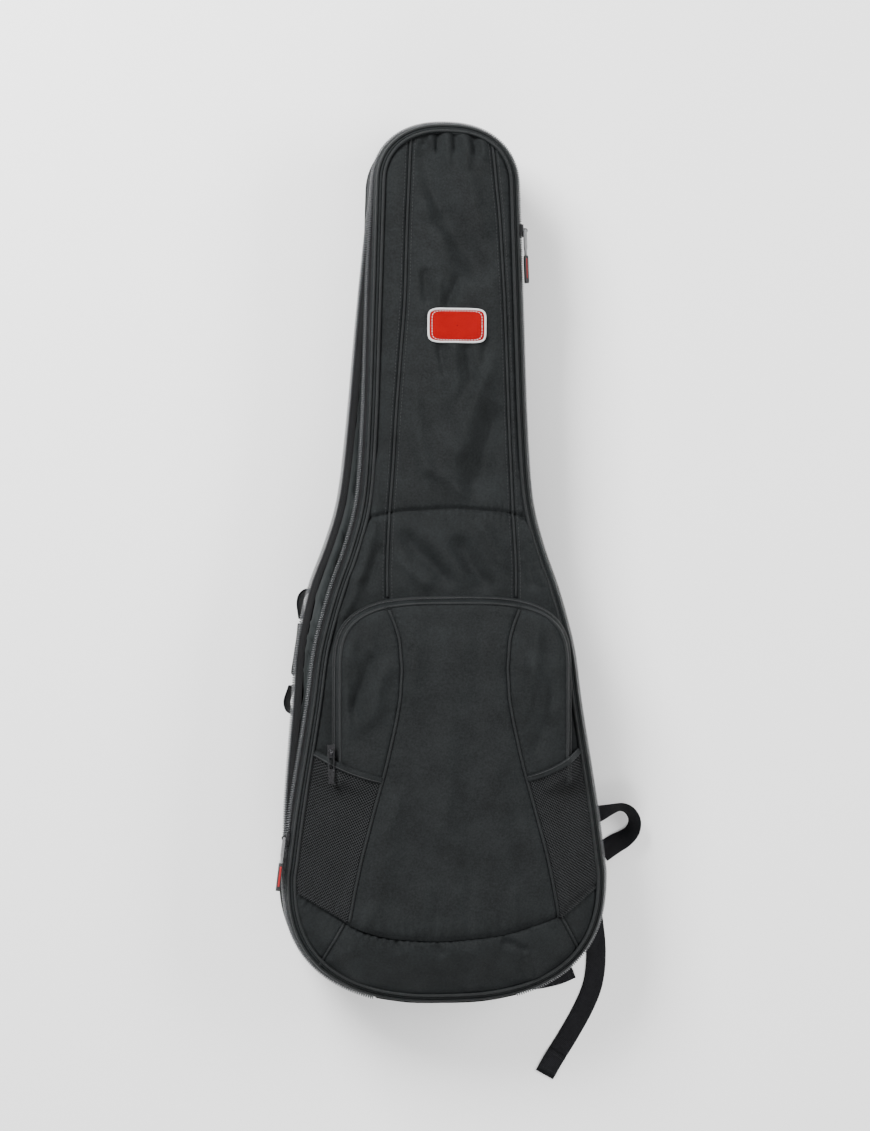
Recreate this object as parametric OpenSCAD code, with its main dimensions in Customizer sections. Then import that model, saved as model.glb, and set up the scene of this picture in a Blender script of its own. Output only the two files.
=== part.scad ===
// Padded gig bag for a solid-body guitar, lying on its back.
// +X is the bag's right as seen from the front, +Y points to the head, +Z is up out of the front.
// The origin is on the ground, under the middle of the bag's outline.

/* [Outline] */
// Length from tail to head
bag_len = 1052; // [1030:1:1080]
// Width across the lower bout
bout_w = 386; // [370:1:396]
// Width of the neck end
neck_w = 174; // [166:1:182]
// How far the unzipped left wall leans out
flare = 30; // [0:1:34]

/* [Depths] */
// Height of the pads under the back
pad_h = 10.5; // [9:0.5:14]
// Thickness of the padded back
back_t = 13.5; // [10:0.5:18]
// Height of the side walls
wall_h = 64; // [56:1:72]
// Thickness of a side wall
wall_t = 6; // [5:0.5:8]
// Thickness of the padded lid
lid_t = 20; // [16:1:24]
// Depth of the front pocket behind its panel
pocket_h = 16; // [12:1:20]
// Thickness of the pocket's front panel
front_t = 6; // [4:0.5:8]

/* [Front pocket] */
// Half width of the arched part
arch_w = 142; // [136:1:146]
// Half width at the waist of the lower panel
waist_w = 80; // [70:1:90]
// Half width at the foot of the lower panel
foot_w = 128; // [120:1:132]
// Sideways place of everything sewn on the face
face_x = 5; // [0:1:8]

/* [Straps] */
// Width of the webbing
web_w = 25; // [20:1:28]
// Thickness of the webbing
web_t = 1.6; // [1.2:0.1:2]
// Thickness of a shoulder pad
strap_t = 8; // [6:0.5:8.5]

/* [Hidden] */

// heights of the layers
z_inside = pad_h + back_t;
z_rim = z_inside + wall_h;
z_lid = z_rim + 4;
z_face = z_lid + lid_t;
z_tape = z_face + pocket_h - 1.5;
z_front = z_face + pocket_h + front_t;
tape_t = 1.5;

// the outline: a round tail, a sprung side and a round head
tail_y = -375;
head_y = 449;
half_len = bag_len / 2;
bout_r = bout_w / 2;
neck_r = neck_w / 2;
// stations of the side: place along the bag, share of the way from neck width to bout width
SIDE = [
    [-375, 1], [-293, 0.9], [-173, 0.72], [-109, 0.64], [-64, 0.54], [-25, 0.43],
    [20, 0.28], [76, 0.15], [160, 0.09], [280, 0.05], [449, 0]
];
flare_y = -20;

function bend(a, b, c, d, t) =
    0.5 * (2 * b + (c - a) * t + (2 * a - 5 * b + 4 * c - d) * t * t
        + (3 * b - a - 3 * c + d) * t * t * t);
function spline(p, n) = let (m = len(p) - 1) concat(
    [for (i = [0 : m - 1], k = [0 : n - 1])
        bend(p[max(i - 1, 0)], p[i], p[i + 1], p[min(i + 2, m)], k / n)],
    [p[m]]);
function rest(p) = [for (i = [1 : len(p) - 1]) p[i]];
function back(p) = [for (i = [len(p) - 1 : -1 : 0]) p[i]];
function flip(p) = back([for (q = p) [-q[0], q[1]]]);
function between(p, low, high) = [for (q = p) if (q[1] >= low - 0.01 && q[1] <= high + 0.01) q];
// a quarter or half of a round cap that is fuller than an ellipse
function cap(w, h, n, y, a0, a1, steps) = [
    for (i = [0 : steps]) let (a = a0 + (a1 - a0) * i / steps)
        [w * sign(cos(a)) * pow(abs(cos(a)), 2 / n),
         y + h * sign(sin(a)) * pow(abs(sin(a)), 2 / n)]];

side_pts = spline([for (s = SIDE) [neck_r + (bout_r - neck_r) * s[1], s[0]]], 3);
tail_pts = cap(bout_r, half_len + tail_y, 2.5, tail_y, -90, 0, 12);
head_pts = cap(neck_r, half_len - head_y, 2.3, head_y, 0, 90, 10);
right_pts = concat(tail_pts, rest(side_pts), rest(head_pts));
rim_pts = concat(right_pts, rest(back(rest(back(flip(right_pts))))));
// places in rim_pts where the round ends meet the right side, and how many points there are
tail_end = len(tail_pts) - 1;
head_end = tail_end + len(side_pts) - 1;
rim_n = len(rim_pts);

function half_w(y) = lookup(y, [for (p = side_pts) [p[1], p[0]]]);
function lean(y) = let (u = y > flare_y ? (y - flare_y) / 470 : (flare_y - y) / 340)
    u < 1 ? flare * pow(1 - u, 0.7) : 0;
function leaned(p) = [for (q = p) q[0] < 0 ? [q[0] - lean(q[1]), q[1]] : q];

// unit normal to the left of travel, at each point of an open or closed line
function turn(d) = [-d[1], d[0]] / max(norm(d), 0.001);
function normals(p, closed = false) = let (n = len(p)) [
    for (i = [0 : n - 1]) turn(
        p[closed ? (i + 1) % n : min(i + 1, n - 1)] - p[closed ? (i + n - 1) % n : max(i - 1, 0)])];
// the line moved to its left by d, which is inwards on an outline drawn anticlockwise
function moved(p, d, closed = false) = let (n = normals(p, closed))
    [for (i = [0 : len(p) - 1]) p[i] + n[i] * d];
function band(p, w) = concat(moved(p, -w / 2), back(moved(p, w / 2)));
function lifted(p, z) = [for (q = p) [q[0], q[1], z]];
function shifted(p, x) = [for (q = p) [q[0] + x, q[1]]];

// solid through rings of equal length
module loft(rings, closed = false) {
    n = len(rings[0]);
    m = len(rings);
    last = closed ? m - 1 : m - 2;
    polyhedron(
        points = [for (r = rings, q = r) q],
        faces = concat(
            closed ? [] : [[for (i = [0 : n - 1]) i], [for (i = [n - 1 : -1 : 0]) (m - 1) * n + i]],
            [for (k = [0 : last], i = [0 : n - 1]) let (a = k * n, b = ((k + 1) % m) * n, j = (i + 1) % n)
                [a + i, b + i, b + j, a + j]]));
}

// thick round cord along a flat line
module cord(p, r, z, closed = false, sides = 6) {
    n = normals(p, closed);
    loft([for (i = [0 : len(p) - 1]) [for (k = [0 : sides - 1]) let (a = 360 * k / sides)
        [p[i][0] - n[i][0] * r * sin(a), p[i][1] - n[i][1] * r * sin(a), z + r * cos(a)]]], closed);
}

// flat ribbon whose underside follows the heights z
module ribbon(p, w, z, t = web_t) {
    n = normals(p);
    loft([for (i = [0 : len(p) - 1]) let (a = p[i] + n[i] * w / 2, b = p[i] - n[i] * w / 2)
        [[a[0], a[1], z[i] + t], [b[0], b[1], z[i] + t], [b[0], b[1], z[i]], [a[0], a[1], z[i]]]]);
}

module plate(p, z, t) translate([0, 0, z]) linear_extrude(t) polygon(p);
module ring_part(outer, d, z, t) plate(concat(outer, back(moved(outer, d))), z, t);

wall_in = moved(rim_pts, wall_t, true);
function stretch_of(p, first, last) = [for (i = [first : last]) p[i % rim_n]];
module wall(first, last) plate(
    concat(stretch_of(rim_pts, first, last), back(stretch_of(wall_in, first, last))),
    z_inside, wall_h);

// ---- rear shell ----
module back_panel() color("#2c2f30") plate(rim_pts, pad_h, back_t);

module rear_lining() color("#4b5252") plate(moved(rim_pts, wall_t + 0.5, true), z_inside, 2);

module gusset_left() {
    outer = back(stretch_of(rim_pts, rim_n - head_end, rim_n - tail_end));
    inner = back(stretch_of(wall_in, rim_n - head_end, rim_n - tail_end));
    color("#2c2f30") loft([for (i = [0 : len(outer) - 1]) let (p = outer[i], q = inner[i], l = lean(p[1]))
        [[p[0] - l, p[1], z_rim], [q[0] - l, q[1], z_rim], [q[0], q[1], z_inside], [p[0], p[1], z_inside]]]);
}
module gusset_right() color("#2c2f30") wall(tail_end, head_end);
module gusset_head() color("#2c2f30") wall(head_end, rim_n - head_end);
module gusset_tail() color("#2c2f30") wall(rim_n - tail_end, rim_n + tail_end);

// the zip runs round everything but the hinge at the tail
hinge_w = 250;
open_rim = concat(
    [for (p = right_pts) if (p[0] > hinge_w / 2 || p[1] > 0) p],
    rest([for (p = flip(right_pts)) if (p[0] < -hinge_w / 2 || p[1] > 0) p]));

module rear_zip_tape() color("#101012") ring_part(leaned(open_rim), 8, z_rim, tape_t);

module hinge_strip() color("#2c2f30")
    translate([-hinge_w / 2 + 40, -half_len - 1.8, z_rim - 26]) cube([hinge_w - 80, 1.5, 27]);

module back_pad_upper() color("#26282a") hull() for (y = [190, 400]) translate([0, y, 0])
    linear_extrude(pad_h) circle(r = 48, $fn = 32);

module back_pad_spine() color("#26282a") hull() for (y = [-185, 0]) translate([0, y, 0])
    linear_extrude(pad_h) circle(r = 14.5, $fn = 32);

module back_pad_lumbar() color("#26282a") hull() for (x = [-28, 28], y = [-318, -258])
    translate([x, y, 0]) linear_extrude(pad_h) circle(r = 24, $fn = 32);

module strap_yoke() color("#2c2f30") translate([-82, 66, pad_h - 2]) cube([164, 44, 2]);

anchor_right = [[150, -330], [176, -320]];
anchor_left = [[-174, -356], [-152.5, -356]];
module anchor(p) color("#141416") plate(band(p, web_w), pad_h - web_t, web_t);
module lower_anchor_left() anchor(anchor_left);
module lower_anchor_right() anchor(anchor_right);

// ---- carry handle on the left wall ----
handle_at = [-162.7, -108, 38];
handle_turn = -9.5;
handle_droop = 21;
handle_half = 76;
module on_handle() translate(handle_at) rotate([0, -handle_droop, handle_turn]) mirror([1, 0, 0])
    children();
// it sags against the wall in the middle and stands off at its ends
handle_arc = spline([[-0.2, -76], [9, -73.5], [14, -63], [12, -48], [9, -30], [8.4, 0], [10, 28], [14, 43],
                     [18, 56], [17.5, 67], [11, 74.5], [-0.2, 76]], 3);
module handle_patches() color("#141416") on_handle() for (y = [-1, 1])
    translate([-2.6, y * (handle_half - 4) - 11, -15]) cube([2.2, 22, 30]);
module handle_webbing() color("#141416") on_handle() for (s = [-1, 1])
    translate([0, 0, -web_w / 2]) linear_extrude(web_w)
        polygon(band([for (p = handle_arc) if (s * p[1] > 38) p], 2.4));
module handle_grip() color("#1c1d1f") on_handle() translate([0, 0, -14]) linear_extrude(28)
    polygon(band([for (p = handle_arc) if (abs(p[1]) < 35) p], 7));

// ---- hang loop on the head end: a tab of webbing folded on itself ----
loop_z = 64;
loop_arc = spline([[1.2, -0.4], [5, -9], [9.4, -22], [9.8, -32], [6.4, -38.5], [3, -34], [1.6, -26]], 3);
module loop_patch() color("#141416") translate([-20, half_len + 0.1, loop_z]) cube([40, 2, 12]);
module hang_loop() color("#141416") translate([-web_w / 2, half_len + 0.3, loop_z])
    rotate([90, 0, 90]) linear_extrude(web_w) polygon(band(loop_arc, web_t));

// ---- inside ----
cradle_y = 330;
cradle_l = 72;
cradle_h = 30;
groove_r = 24;
module neck_cradle() color("#3a3d3f") difference() {
    translate([-62, cradle_y, z_inside + 2]) cube([124, cradle_l, cradle_h]);
    translate([-groove_r, cradle_y - 1, z_inside + 10]) cube([2 * groove_r, cradle_l + 2, cradle_h]);
}
module neck_strap() color("#141416")
    translate([-54, cradle_y + 17, z_inside + cradle_h + 2.6]) cube([104, 38, 2]);
module tail_bolster() color("#3a3d3f") translate([-95, -half_len + 24, z_inside + 2.2])
    cube([190, 34, 52]);

// ---- lid ----
module lid_panel() color("#2d3031") loft([for (s = [[0, 0.8], [0.3, 0], [0.62, 0], [0.86, 2.4], [1, 8]])
    lifted(moved(rim_pts, s[1], true), z_lid + s[0] * lid_t)]);
module lid_lining() color("#4b5252") plate(moved(rim_pts, 16, true), z_lid - 1.8, 1.8);
module lid_zip_tape() color("#101012") ring_part(open_rim, 12, z_lid - tape_t, tape_t);
module lid_piping() color("#1a1b1d") cord(moved(rim_pts, 3.2, true), 1.9, z_face + 0.4, true);

// raised seams of the neck panel
seam_left = [[-42, 500], [-47, 409], [-50, 316], [-56, 220], [-63, 130], [-69, 58], [-71, -40]];
seam_right = [[54, 498], [60, 460], [66, 390], [72, 281], [76, 160], [80, 63], [84, -40]];
seam_cross = [[-96, 53], [-60, 60], [0, 65], [60, 62], [97, 54]];
module neck_seams() color("#1a1b1d") {
    for (s = [seam_left, seam_right]) cord(spline(s, 2), 1.5, z_face + 1.5);
    for (s = [[seam_cross[0], [-74, 58]], [[-65, 59], seam_cross[2], [75, 60]], [[84, 58], seam_cross[4]]])
        cord(s, 1.5, z_face + 1.5);
}

badge_w = 72;
badge_h = 41;
module badge() color("#b3202a") translate([10, 283, z_face]) linear_extrude(1.6)
    hull() for (x = [-1, 1], y = [-1, 1]) translate([x * (badge_w / 2 - 5), y * (badge_h / 2 - 5)])
        circle(r = 5, $fn = 32);

// ---- front pocket ----
arch_y = -136;
arch_top = 94;
fold_y = -236;
foot_y = -440;
arch_pts = shifted(cap(arch_w, arch_top, 3.3, arch_y, 0, 180, 28), face_x);
pocket_pts = concat(
    [[face_x - foot_w, foot_y], [face_x + foot_w, foot_y], [face_x + waist_w, fold_y - 1],
     [face_x + arch_w, fold_y - 1]],
    arch_pts, [[face_x - arch_w, fold_y - 1], [face_x - waist_w, fold_y - 1]]);
flap_pts = concat([[face_x - arch_w, fold_y + 0.6], [face_x + arch_w, fold_y + 0.6]], arch_pts);
zip_line = concat([[face_x + arch_w, fold_y + 4]], arch_pts, [[face_x - arch_w, fold_y + 4]]);

module pocket_gusset() color("#2c2f30") translate([0, 0, z_face]) linear_extrude(z_tape - z_face)
    difference() {
        polygon(pocket_pts);
        polygon(moved(pocket_pts, 4, true));
    }
module pocket_zip_tape() color("#101012") ring_part(zip_line, 4, z_tape, tape_t);
module pocket_lower_panel() color("#2d3031") plate(
    [[face_x - foot_w, foot_y], [face_x + foot_w, foot_y],
     [face_x + waist_w, fold_y - 1], [face_x - waist_w, fold_y - 1]], z_tape, z_front - z_tape);
module pocket_flap_panel() color("#2d3031")
    loft([for (s = [[0, 0.5], [0.5, 0], [1, 5]])
        lifted(moved(flap_pts, s[1], true), z_front - front_t + 0.4 + s[0] * (front_t - 0.4))]);

module tail_yoke() {
    edge = [for (p = moved(rim_pts, 12, true)) if (p[1] < foot_y - 6) p];
    color("#2d3031") plate(edge, z_face, 8);
}

// ---- stretch pockets on the sides of the face ----
mesh_z = z_face + 9;
mesh_edge = [[-158, -234], [-168, -300], [-174, -360], [-167, -396], [-146, -414]];
mesh_seam = [[face_x - foot_w + 4, foot_y + 18], [face_x - waist_w - 5, fold_y - 20]];
mesh_pts = concat(mesh_edge, mesh_seam, [[-112, -249], [-139, -239]]);
mesh_top = spline([mesh_edge[0] - [0, 4], [-140, -244], [-112, -254], mesh_seam[1] - [2.5, 3]], 3);
module mesh_side() {
    plate(mesh_pts, mesh_z, 1.4);
    plate(concat(mesh_edge, back(moved(mesh_edge, 3))), z_face, mesh_z - z_face);
}
module mesh_hem() plate(band(mesh_top, 7), mesh_z + 1.4, 1.2);
module other_side() translate([2 * face_x, 0, 0]) mirror([1, 0, 0]) children();
module mesh_pocket_left() color("#232527") mesh_side();
module mesh_pocket_right() color("#232527") other_side() mesh_side();
module mesh_binding_left() color("#1a1b1d") mesh_hem();
module mesh_binding_right() color("#1a1b1d") other_side() mesh_hem();

// ---- zip sliders and pulls, drawn with the track along Y and the pull on the +X side ----
pin_r = 1.2;
pin_x = 6.8;
lug_h = 4;
module slider_body() color("#3c3e40") {
    difference() {
        union() {
            translate([0, -7.5, -4.2]) cube([1.6, 15, 8.4]);
            translate([3, -7.5, -4.2]) cube([1.6, 15, 8.4]);
            translate([1.6, -2, -4.2]) cube([1.4, 9.5, 8.4]);
            translate([4.6, -3, -lug_h / 2]) cube([2.2, 6, lug_h]);
            translate([pin_x, 0, -lug_h / 2]) cylinder(r = 3, h = lug_h, $fn = 48);
        }
        translate([pin_x, 0, -lug_h]) cylinder(r = pin_r + 0.08, h = 2 * lug_h, $fn = 48);
        translate([1.6, -8, -1.5]) cube([1.4, 6.5, 3]);
    }
}
link_l = 30;
module pull_link() color("#6d7073") translate([pin_x, 0, 0]) {
    cylinder(r = pin_r, h = 2 * lug_h - 0.8, center = true, $fn = 48);
    for (z = [-1, 1]) hull() for (y = [0, -link_l + 8])
        translate([0, y, z * (lug_h / 2 + 1)]) cylinder(r = 1.6, h = 1.2, center = true, $fn = 32);
    translate([-1.1, -link_l, -lug_h / 2 - 1.6]) cube([2.2, 9, lug_h + 3.2]);
}
grip_l = 33;
module pull_grip() color("#17181a") translate([pin_x, -link_l - grip_l / 2 - 0.2, 0])
    hull() for (y = [-1, 1], z = [-1, 1])
        translate([0, y * (grip_l / 2 - 3), z * 2]) rotate([0, 90, 0])
            cylinder(r = 3, h = 4.4, center = true, $fn = 32);

slider_z = z_lid + 2.6;
left_y = -328;
right_y = 400;
module at_left() translate([-half_w(left_y) - 0.8, left_y, slider_z]) rotate([0, 0, -7])
    mirror([1, 0, 0]) children();
module at_right() translate([half_w(right_y) + 0.8, right_y, slider_z]) rotate([0, 0, 2]) children();
module at_pocket() translate([face_x - arch_w - 5.2, fold_y + 14, z_tape + 0.4]) rotate([0, -90, 0])
    children();
module main_slider_left() at_left() slider_body();
module pull_link_left() at_left() pull_link();
module pull_grip_left() at_left() pull_grip();
module main_slider_right() at_right() slider_body();
module pull_link_right() at_right() pull_link();
module pull_grip_right() at_right() pull_grip();
module pocket_slider() at_pocket() slider_body();
module pocket_pull() at_pocket() {
    pull_link();
    color("#17181a") translate([pin_x - 1.1, -link_l - 8, -3]) cube([2.2, 8, 6]);
}

// ---- shoulder straps under the back ----
line_left = spline([[-46, 58], [-58, -40], [-76, -150], [-92, -250], [-102, -312]], 4);
line_right = spline([[46, 58], [60, -40], [90, -150], [134, -262], [180, -338]], 4);
function tapered(p, w0, w1) = let (n = normals(p), m = len(p) - 1) concat(
    [for (i = [0 : m]) p[i] - n[i] * (w0 + (w1 - w0) * i / m) / 2],
    [for (i = [m : -1 : 0]) p[i] + n[i] * (w0 + (w1 - w0) * i / m) / 2]);
module shoulder_pad_left() color("#26282a") plate(tapered(line_left, 64, 44), 0, strap_t);
module shoulder_pad_right() color("#26282a") plate(tapered(line_right, 64, 44), 0, strap_t);

lock_l = 20;
lock_w = 34;
module ladder_lock() color("#3a3c3e") difference() {
    translate([-lock_w / 2, 0, 0]) cube([lock_w, lock_l, 5]);
    for (y = [4, 12]) translate([-13.5, y, -1]) cube([27, 4.5, 7]);
}
lock_left_at = [-102.4, -313, 0];
lock_right_at = [180.5, -338.6, 0];
module ladder_lock_left() translate(lock_left_at) rotate([0, 0, 171]) ladder_lock();
module ladder_lock_right() translate(lock_right_at) rotate([0, 0, -148]) ladder_lock();

// webbing from the lower anchor to the ladder lock, then the free tail
web_right = spline([[182, -317], [200, -312], [218, -306], [232, -303], [243, -308], [249, -320],
                    [246, -333], [237, -342], [224, -350], [209, -361]], 2);
web_left = spline([[-148, -357], [-136, -360], [-122, -360], [-111, -353]], 3);
tail_right = spline([[190, -366], [192, -396], [195, -424], [199, -448], [202, -478], [201, -506],
                     [196, -530], [184, -557], [166, -588], [148, -616], [137, -635]], 2);
tail_left = spline([[-102, -339], [-90, -372], [-50, -420], [10, -468], [75, -505], [118, -516], [150, -512],
                    [172, -504]], 5);
// the webbing comes off the anchor above the pad, and ends on the tail that lies under it
function from_anchor(p, last) = [for (i = [0 : len(p) - 1]) max(last, 8.6 - max(0, i - 3) * 2.2)];
function on_ground(p) = [for (q = p) 0];
module strap_webbing_left() color("#0f0f12") ribbon(web_left, web_w, from_anchor(web_left, 2.2));
module strap_webbing_right() color("#0f0f12") ribbon(web_right, web_w, from_anchor(web_right, 0));
module strap_tail_left() color("#0f0f12") ribbon(tail_left, web_w, on_ground(tail_left));
module strap_tail_right() color("#0f0f12") ribbon(tail_right, web_w, on_ground(tail_right));

// ---- drawing ----
back_panel();
rear_lining();
gusset_left();
gusset_right();
gusset_head();
gusset_tail();
rear_zip_tape();
hinge_strip();
back_pad_upper();
back_pad_spine();
back_pad_lumbar();
strap_yoke();
lower_anchor_left();
lower_anchor_right();
handle_patches();
loop_patch();
neck_cradle();
tail_bolster();
lid_panel();
lid_lining();
lid_zip_tape();
lid_piping();
neck_seams();
badge();
pocket_gusset();
pocket_zip_tape();
pocket_lower_panel();
tail_yoke();
mesh_pocket_left();
mesh_pocket_right();
mesh_binding_left();
mesh_binding_right();
pocket_flap_panel();
main_slider_left();
pull_link_left();
pull_grip_left();
main_slider_right();
pull_link_right();
pull_grip_right();
pocket_slider();
pocket_pull();
handle_webbing();
handle_grip();
hang_loop();
neck_strap();
shoulder_pad_left();
ladder_lock_left();
strap_webbing_left();
strap_tail_left();
shoulder_pad_right();
ladder_lock_right();
strap_webbing_right();
strap_tail_right();
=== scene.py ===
"""A padded gig bag lying on its back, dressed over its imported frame: cloth, piping, zips, net and straps."""
import math
import bpy
import numpy as np
from mathutils import Matrix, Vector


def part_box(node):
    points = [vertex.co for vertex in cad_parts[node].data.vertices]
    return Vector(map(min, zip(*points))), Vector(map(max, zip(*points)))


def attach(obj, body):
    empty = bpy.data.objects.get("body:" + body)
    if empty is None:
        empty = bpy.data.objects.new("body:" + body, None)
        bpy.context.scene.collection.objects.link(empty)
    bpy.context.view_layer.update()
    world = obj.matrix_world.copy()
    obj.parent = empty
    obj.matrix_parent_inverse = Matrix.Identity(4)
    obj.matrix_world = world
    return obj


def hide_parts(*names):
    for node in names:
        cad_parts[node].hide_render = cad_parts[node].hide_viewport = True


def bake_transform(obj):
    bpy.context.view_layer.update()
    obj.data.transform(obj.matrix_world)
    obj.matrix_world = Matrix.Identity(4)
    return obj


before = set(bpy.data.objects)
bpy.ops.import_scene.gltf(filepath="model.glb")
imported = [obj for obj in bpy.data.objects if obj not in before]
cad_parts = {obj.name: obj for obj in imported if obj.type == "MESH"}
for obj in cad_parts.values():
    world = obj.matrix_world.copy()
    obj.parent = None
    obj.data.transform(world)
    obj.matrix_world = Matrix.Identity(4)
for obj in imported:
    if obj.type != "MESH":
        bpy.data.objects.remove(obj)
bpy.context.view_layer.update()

MM = 0.001
rng = np.random.default_rng(17)


# ---------------------------------------------------------------- places taken from the frame
def low(node):
    return np.array(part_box(node)[0], float)


def high(node):
    return np.array(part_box(node)[1], float)


def coords(mesh):
    return np.array([v.co for v in mesh.vertices], float)


def points_of(node):
    return coords(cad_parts[node].data)


Z_BACK = low("back_panel")[2]
Z_INSIDE = high("back_panel")[2]
Z_RIM = high("gusset_right")[2]
Z_LID = low("lid_panel")[2]
Z_FACE = high("lid_panel")[2]
Z_FRONT = high("pocket_lower_panel")[2]
FOLD_Y = high("pocket_lower_panel")[1]
ARCH_LOW, ARCH_HIGH = low("pocket_flap_panel"), high("pocket_flap_panel")
FACE_X = (ARCH_LOW[0] + ARCH_HIGH[0]) / 2
OUTLINE_STEP = 2.5 * MM


# ---------------------------------------------------------------- lines and distances
def mm(points):
    return np.array(points, float) * MM


def spline(points, step=OUTLINE_STEP, closed=False):
    """Evenly spaced points on a smooth curve through the given ones."""
    p = np.array(points, float)
    n = len(p)
    if closed:
        q = np.vstack([p[-1], p, p[:2]])
    else:
        q = np.vstack([2 * p[0] - p[1], p, 2 * p[-1] - p[-2]])
    out = []
    for i in range(n if closed else n - 1):
        a, b, c, d = q[i:i + 4]
        parts = max(2, int(np.linalg.norm(c - b) / step * 2))
        t = np.linspace(0, 1, parts, endpoint=False)[:, None]
        out.append(0.5 * (2 * b + (c - a) * t + (2 * a - 5 * b + 4 * c - d) * t ** 2
                          + (3 * b - a - 3 * c + d) * t ** 3))
    out = np.vstack(out + [p[:1] if closed else p[-1:]])
    return even(out, step, closed)


def even(line, step, closed=False):
    """The same line with points a step apart; a closed one doesn't repeat its first point."""
    seg = np.linalg.norm(np.diff(line, axis=0), axis=1)
    s = np.concatenate([[0], np.cumsum(seg)])
    n = max(3, int(round(s[-1] / step)))
    t = np.linspace(0, s[-1], n + 1)
    out = np.stack([np.interp(t, s, line[:, k]) for k in range(line.shape[1])], 1)
    return out[:-1] if closed else out


def unit(v):
    """Each row of v at a length of 1."""
    return v / np.maximum(np.linalg.norm(v, axis=1, keepdims=True), 1e-9)


def tangents(p, closed=False):
    return unit(np.roll(p, -1, 0) - np.roll(p, 1, 0) if closed else np.gradient(p, axis=0))


def left_of(p, closed=False):
    t = tangents(p, closed)
    return np.stack([-t[:, 1], t[:, 0]], 1)


def at_height(line, z):
    """A flat line at one height, or with a height for each of its points."""
    return np.column_stack([line, np.broadcast_to(z, len(line))])


def crowded(count, power):
    """Shares from -1 to 1 that crowd towards both ends."""
    u = np.linspace(-1, 1, count)
    return np.sign(u) * (1 - (1 - np.abs(u)) ** power)


def run(line):
    """How far along the line each of its points is."""
    return np.concatenate([[0], np.cumsum(np.linalg.norm(np.diff(line, axis=0), axis=1))])


def nearest(x, y, line):
    """Distance from each (x, y) to a line, and how far along the line that is."""
    best = np.full(x.shape, 1e9)
    along = np.zeros(x.shape)
    s = run(line)
    for i in range(len(line) - 1):
        a, d = line[i], line[i + 1] - line[i]
        length = max(float(d @ d), 1e-12)
        t = np.clip(((x - a[0]) * d[0] + (y - a[1]) * d[1]) / length, 0, 1)
        gap = np.hypot(x - a[0] - t * d[0], y - a[1] - t * d[1])
        closer = gap < best
        best = np.where(closer, gap, best)
        along = np.where(closer, s[i] + t * math.sqrt(length), along)
    return best, along


def smooth(t):
    t = np.clip(t, 0, 1)
    return t * t * (3 - 2 * t)


NOISE = rng.random((128, 128))


def noise(x, y, size):
    """Smooth noise from -1 to 1 with features of about this size."""
    u, v = np.asarray(x) / size + 37.3, np.asarray(y) / size + 71.9
    i, j = np.floor(u).astype(int), np.floor(v).astype(int)
    a, b = smooth(u - i), smooth(v - j)
    g = lambda p, q: NOISE[p % 128, q % 128]
    low_row = g(i, j) * (1 - a) + g(i + 1, j) * a
    top_row = g(i, j + 1) * (1 - a) + g(i + 1, j + 1) * a
    return 2 * (low_row * (1 - b) + top_row * b) - 1


def folds(x, y, rows):
    """Soft creases: each row is (x0, y0, x1, y1, width, height) in millimetres."""
    z = np.zeros(np.shape(x))
    for x0, y0, x1, y1, width, height in rows:
        a = np.array([x0, y0]) * MM
        d = np.array([x1 - x0, y1 - y0]) * MM
        length = np.linalg.norm(d)
        d = d / length
        wob = 0.35 * width * MM * noise(x * 1.7 + x0, y * 1.7 + y0, 0.045)
        t = ((x - a[0]) * d[0] + (y - a[1]) * d[1]) / length
        gap = (x - a[0]) * -d[1] + (y - a[1]) * d[0] + wob
        end = smooth(t / 0.3 + 0.35) * smooth((1 - t) / 0.3 + 0.35)
        z += 2.0 * height * MM * np.exp(-(gap / (width * MM)) ** 2) * end
    return z


# ---------------------------------------------------------------- mesh builders
def mesh_piece(name, verts, faces, material):
    mesh = bpy.data.meshes.new(name)
    mesh.from_pydata(np.asarray(verts, float).reshape(-1, 3).tolist(), [], np.asarray(faces).tolist()
                     if not isinstance(faces, list) else faces)
    mesh.validate()
    mesh.update()
    mesh.polygons.foreach_set("use_smooth", [True] * len(mesh.polygons))
    piece = bpy.data.objects.new(name, mesh)
    bpy.context.scene.collection.objects.link(piece)
    piece.data.materials.append(material)
    return piece


def grid_faces(rows, cols, wrap_rows=False, wrap_cols=False, flip=False, start=0):
    i = np.arange(rows if wrap_rows else rows - 1)
    j = np.arange(cols if wrap_cols else cols - 1)
    i, j = np.meshgrid(i, j, indexing="ij")
    i2, j2 = (i + 1) % rows, (j + 1) % cols
    quad = np.stack([i * cols + j, i * cols + j2, i2 * cols + j2, i2 * cols + j], -1).reshape(-1, 4)
    return (quad[:, ::-1] if flip else quad) + start


def sheet_piece(name, grid, material, thick=0, flip=False):
    """A grid of points as a surface, or as a closed shell that goes down by thick."""
    rows, cols = grid.shape[:2]
    if not thick:
        return mesh_piece(name, grid, grid_faces(rows, cols, flip=flip), material)
    under = grid.copy()
    under[..., 2] -= thick
    n = rows * cols
    top, bottom = grid_faces(rows, cols, flip=flip), grid_faces(rows, cols, flip=not flip, start=n)
    rim = np.concatenate([np.arange(cols), np.arange(1, rows) * cols + cols - 1,
                          (rows - 1) * cols + np.arange(cols - 2, -1, -1), np.arange(rows - 2, 0, -1) * cols])
    nxt = np.roll(rim, -1)
    side = np.stack([rim, rim + n, nxt + n, nxt], -1)
    if flip:
        side = side[:, ::-1]
    return mesh_piece(name, np.concatenate([grid.reshape(-1, 3), under.reshape(-1, 3)]),
                      np.vstack([top, bottom, side]), material)


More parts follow.
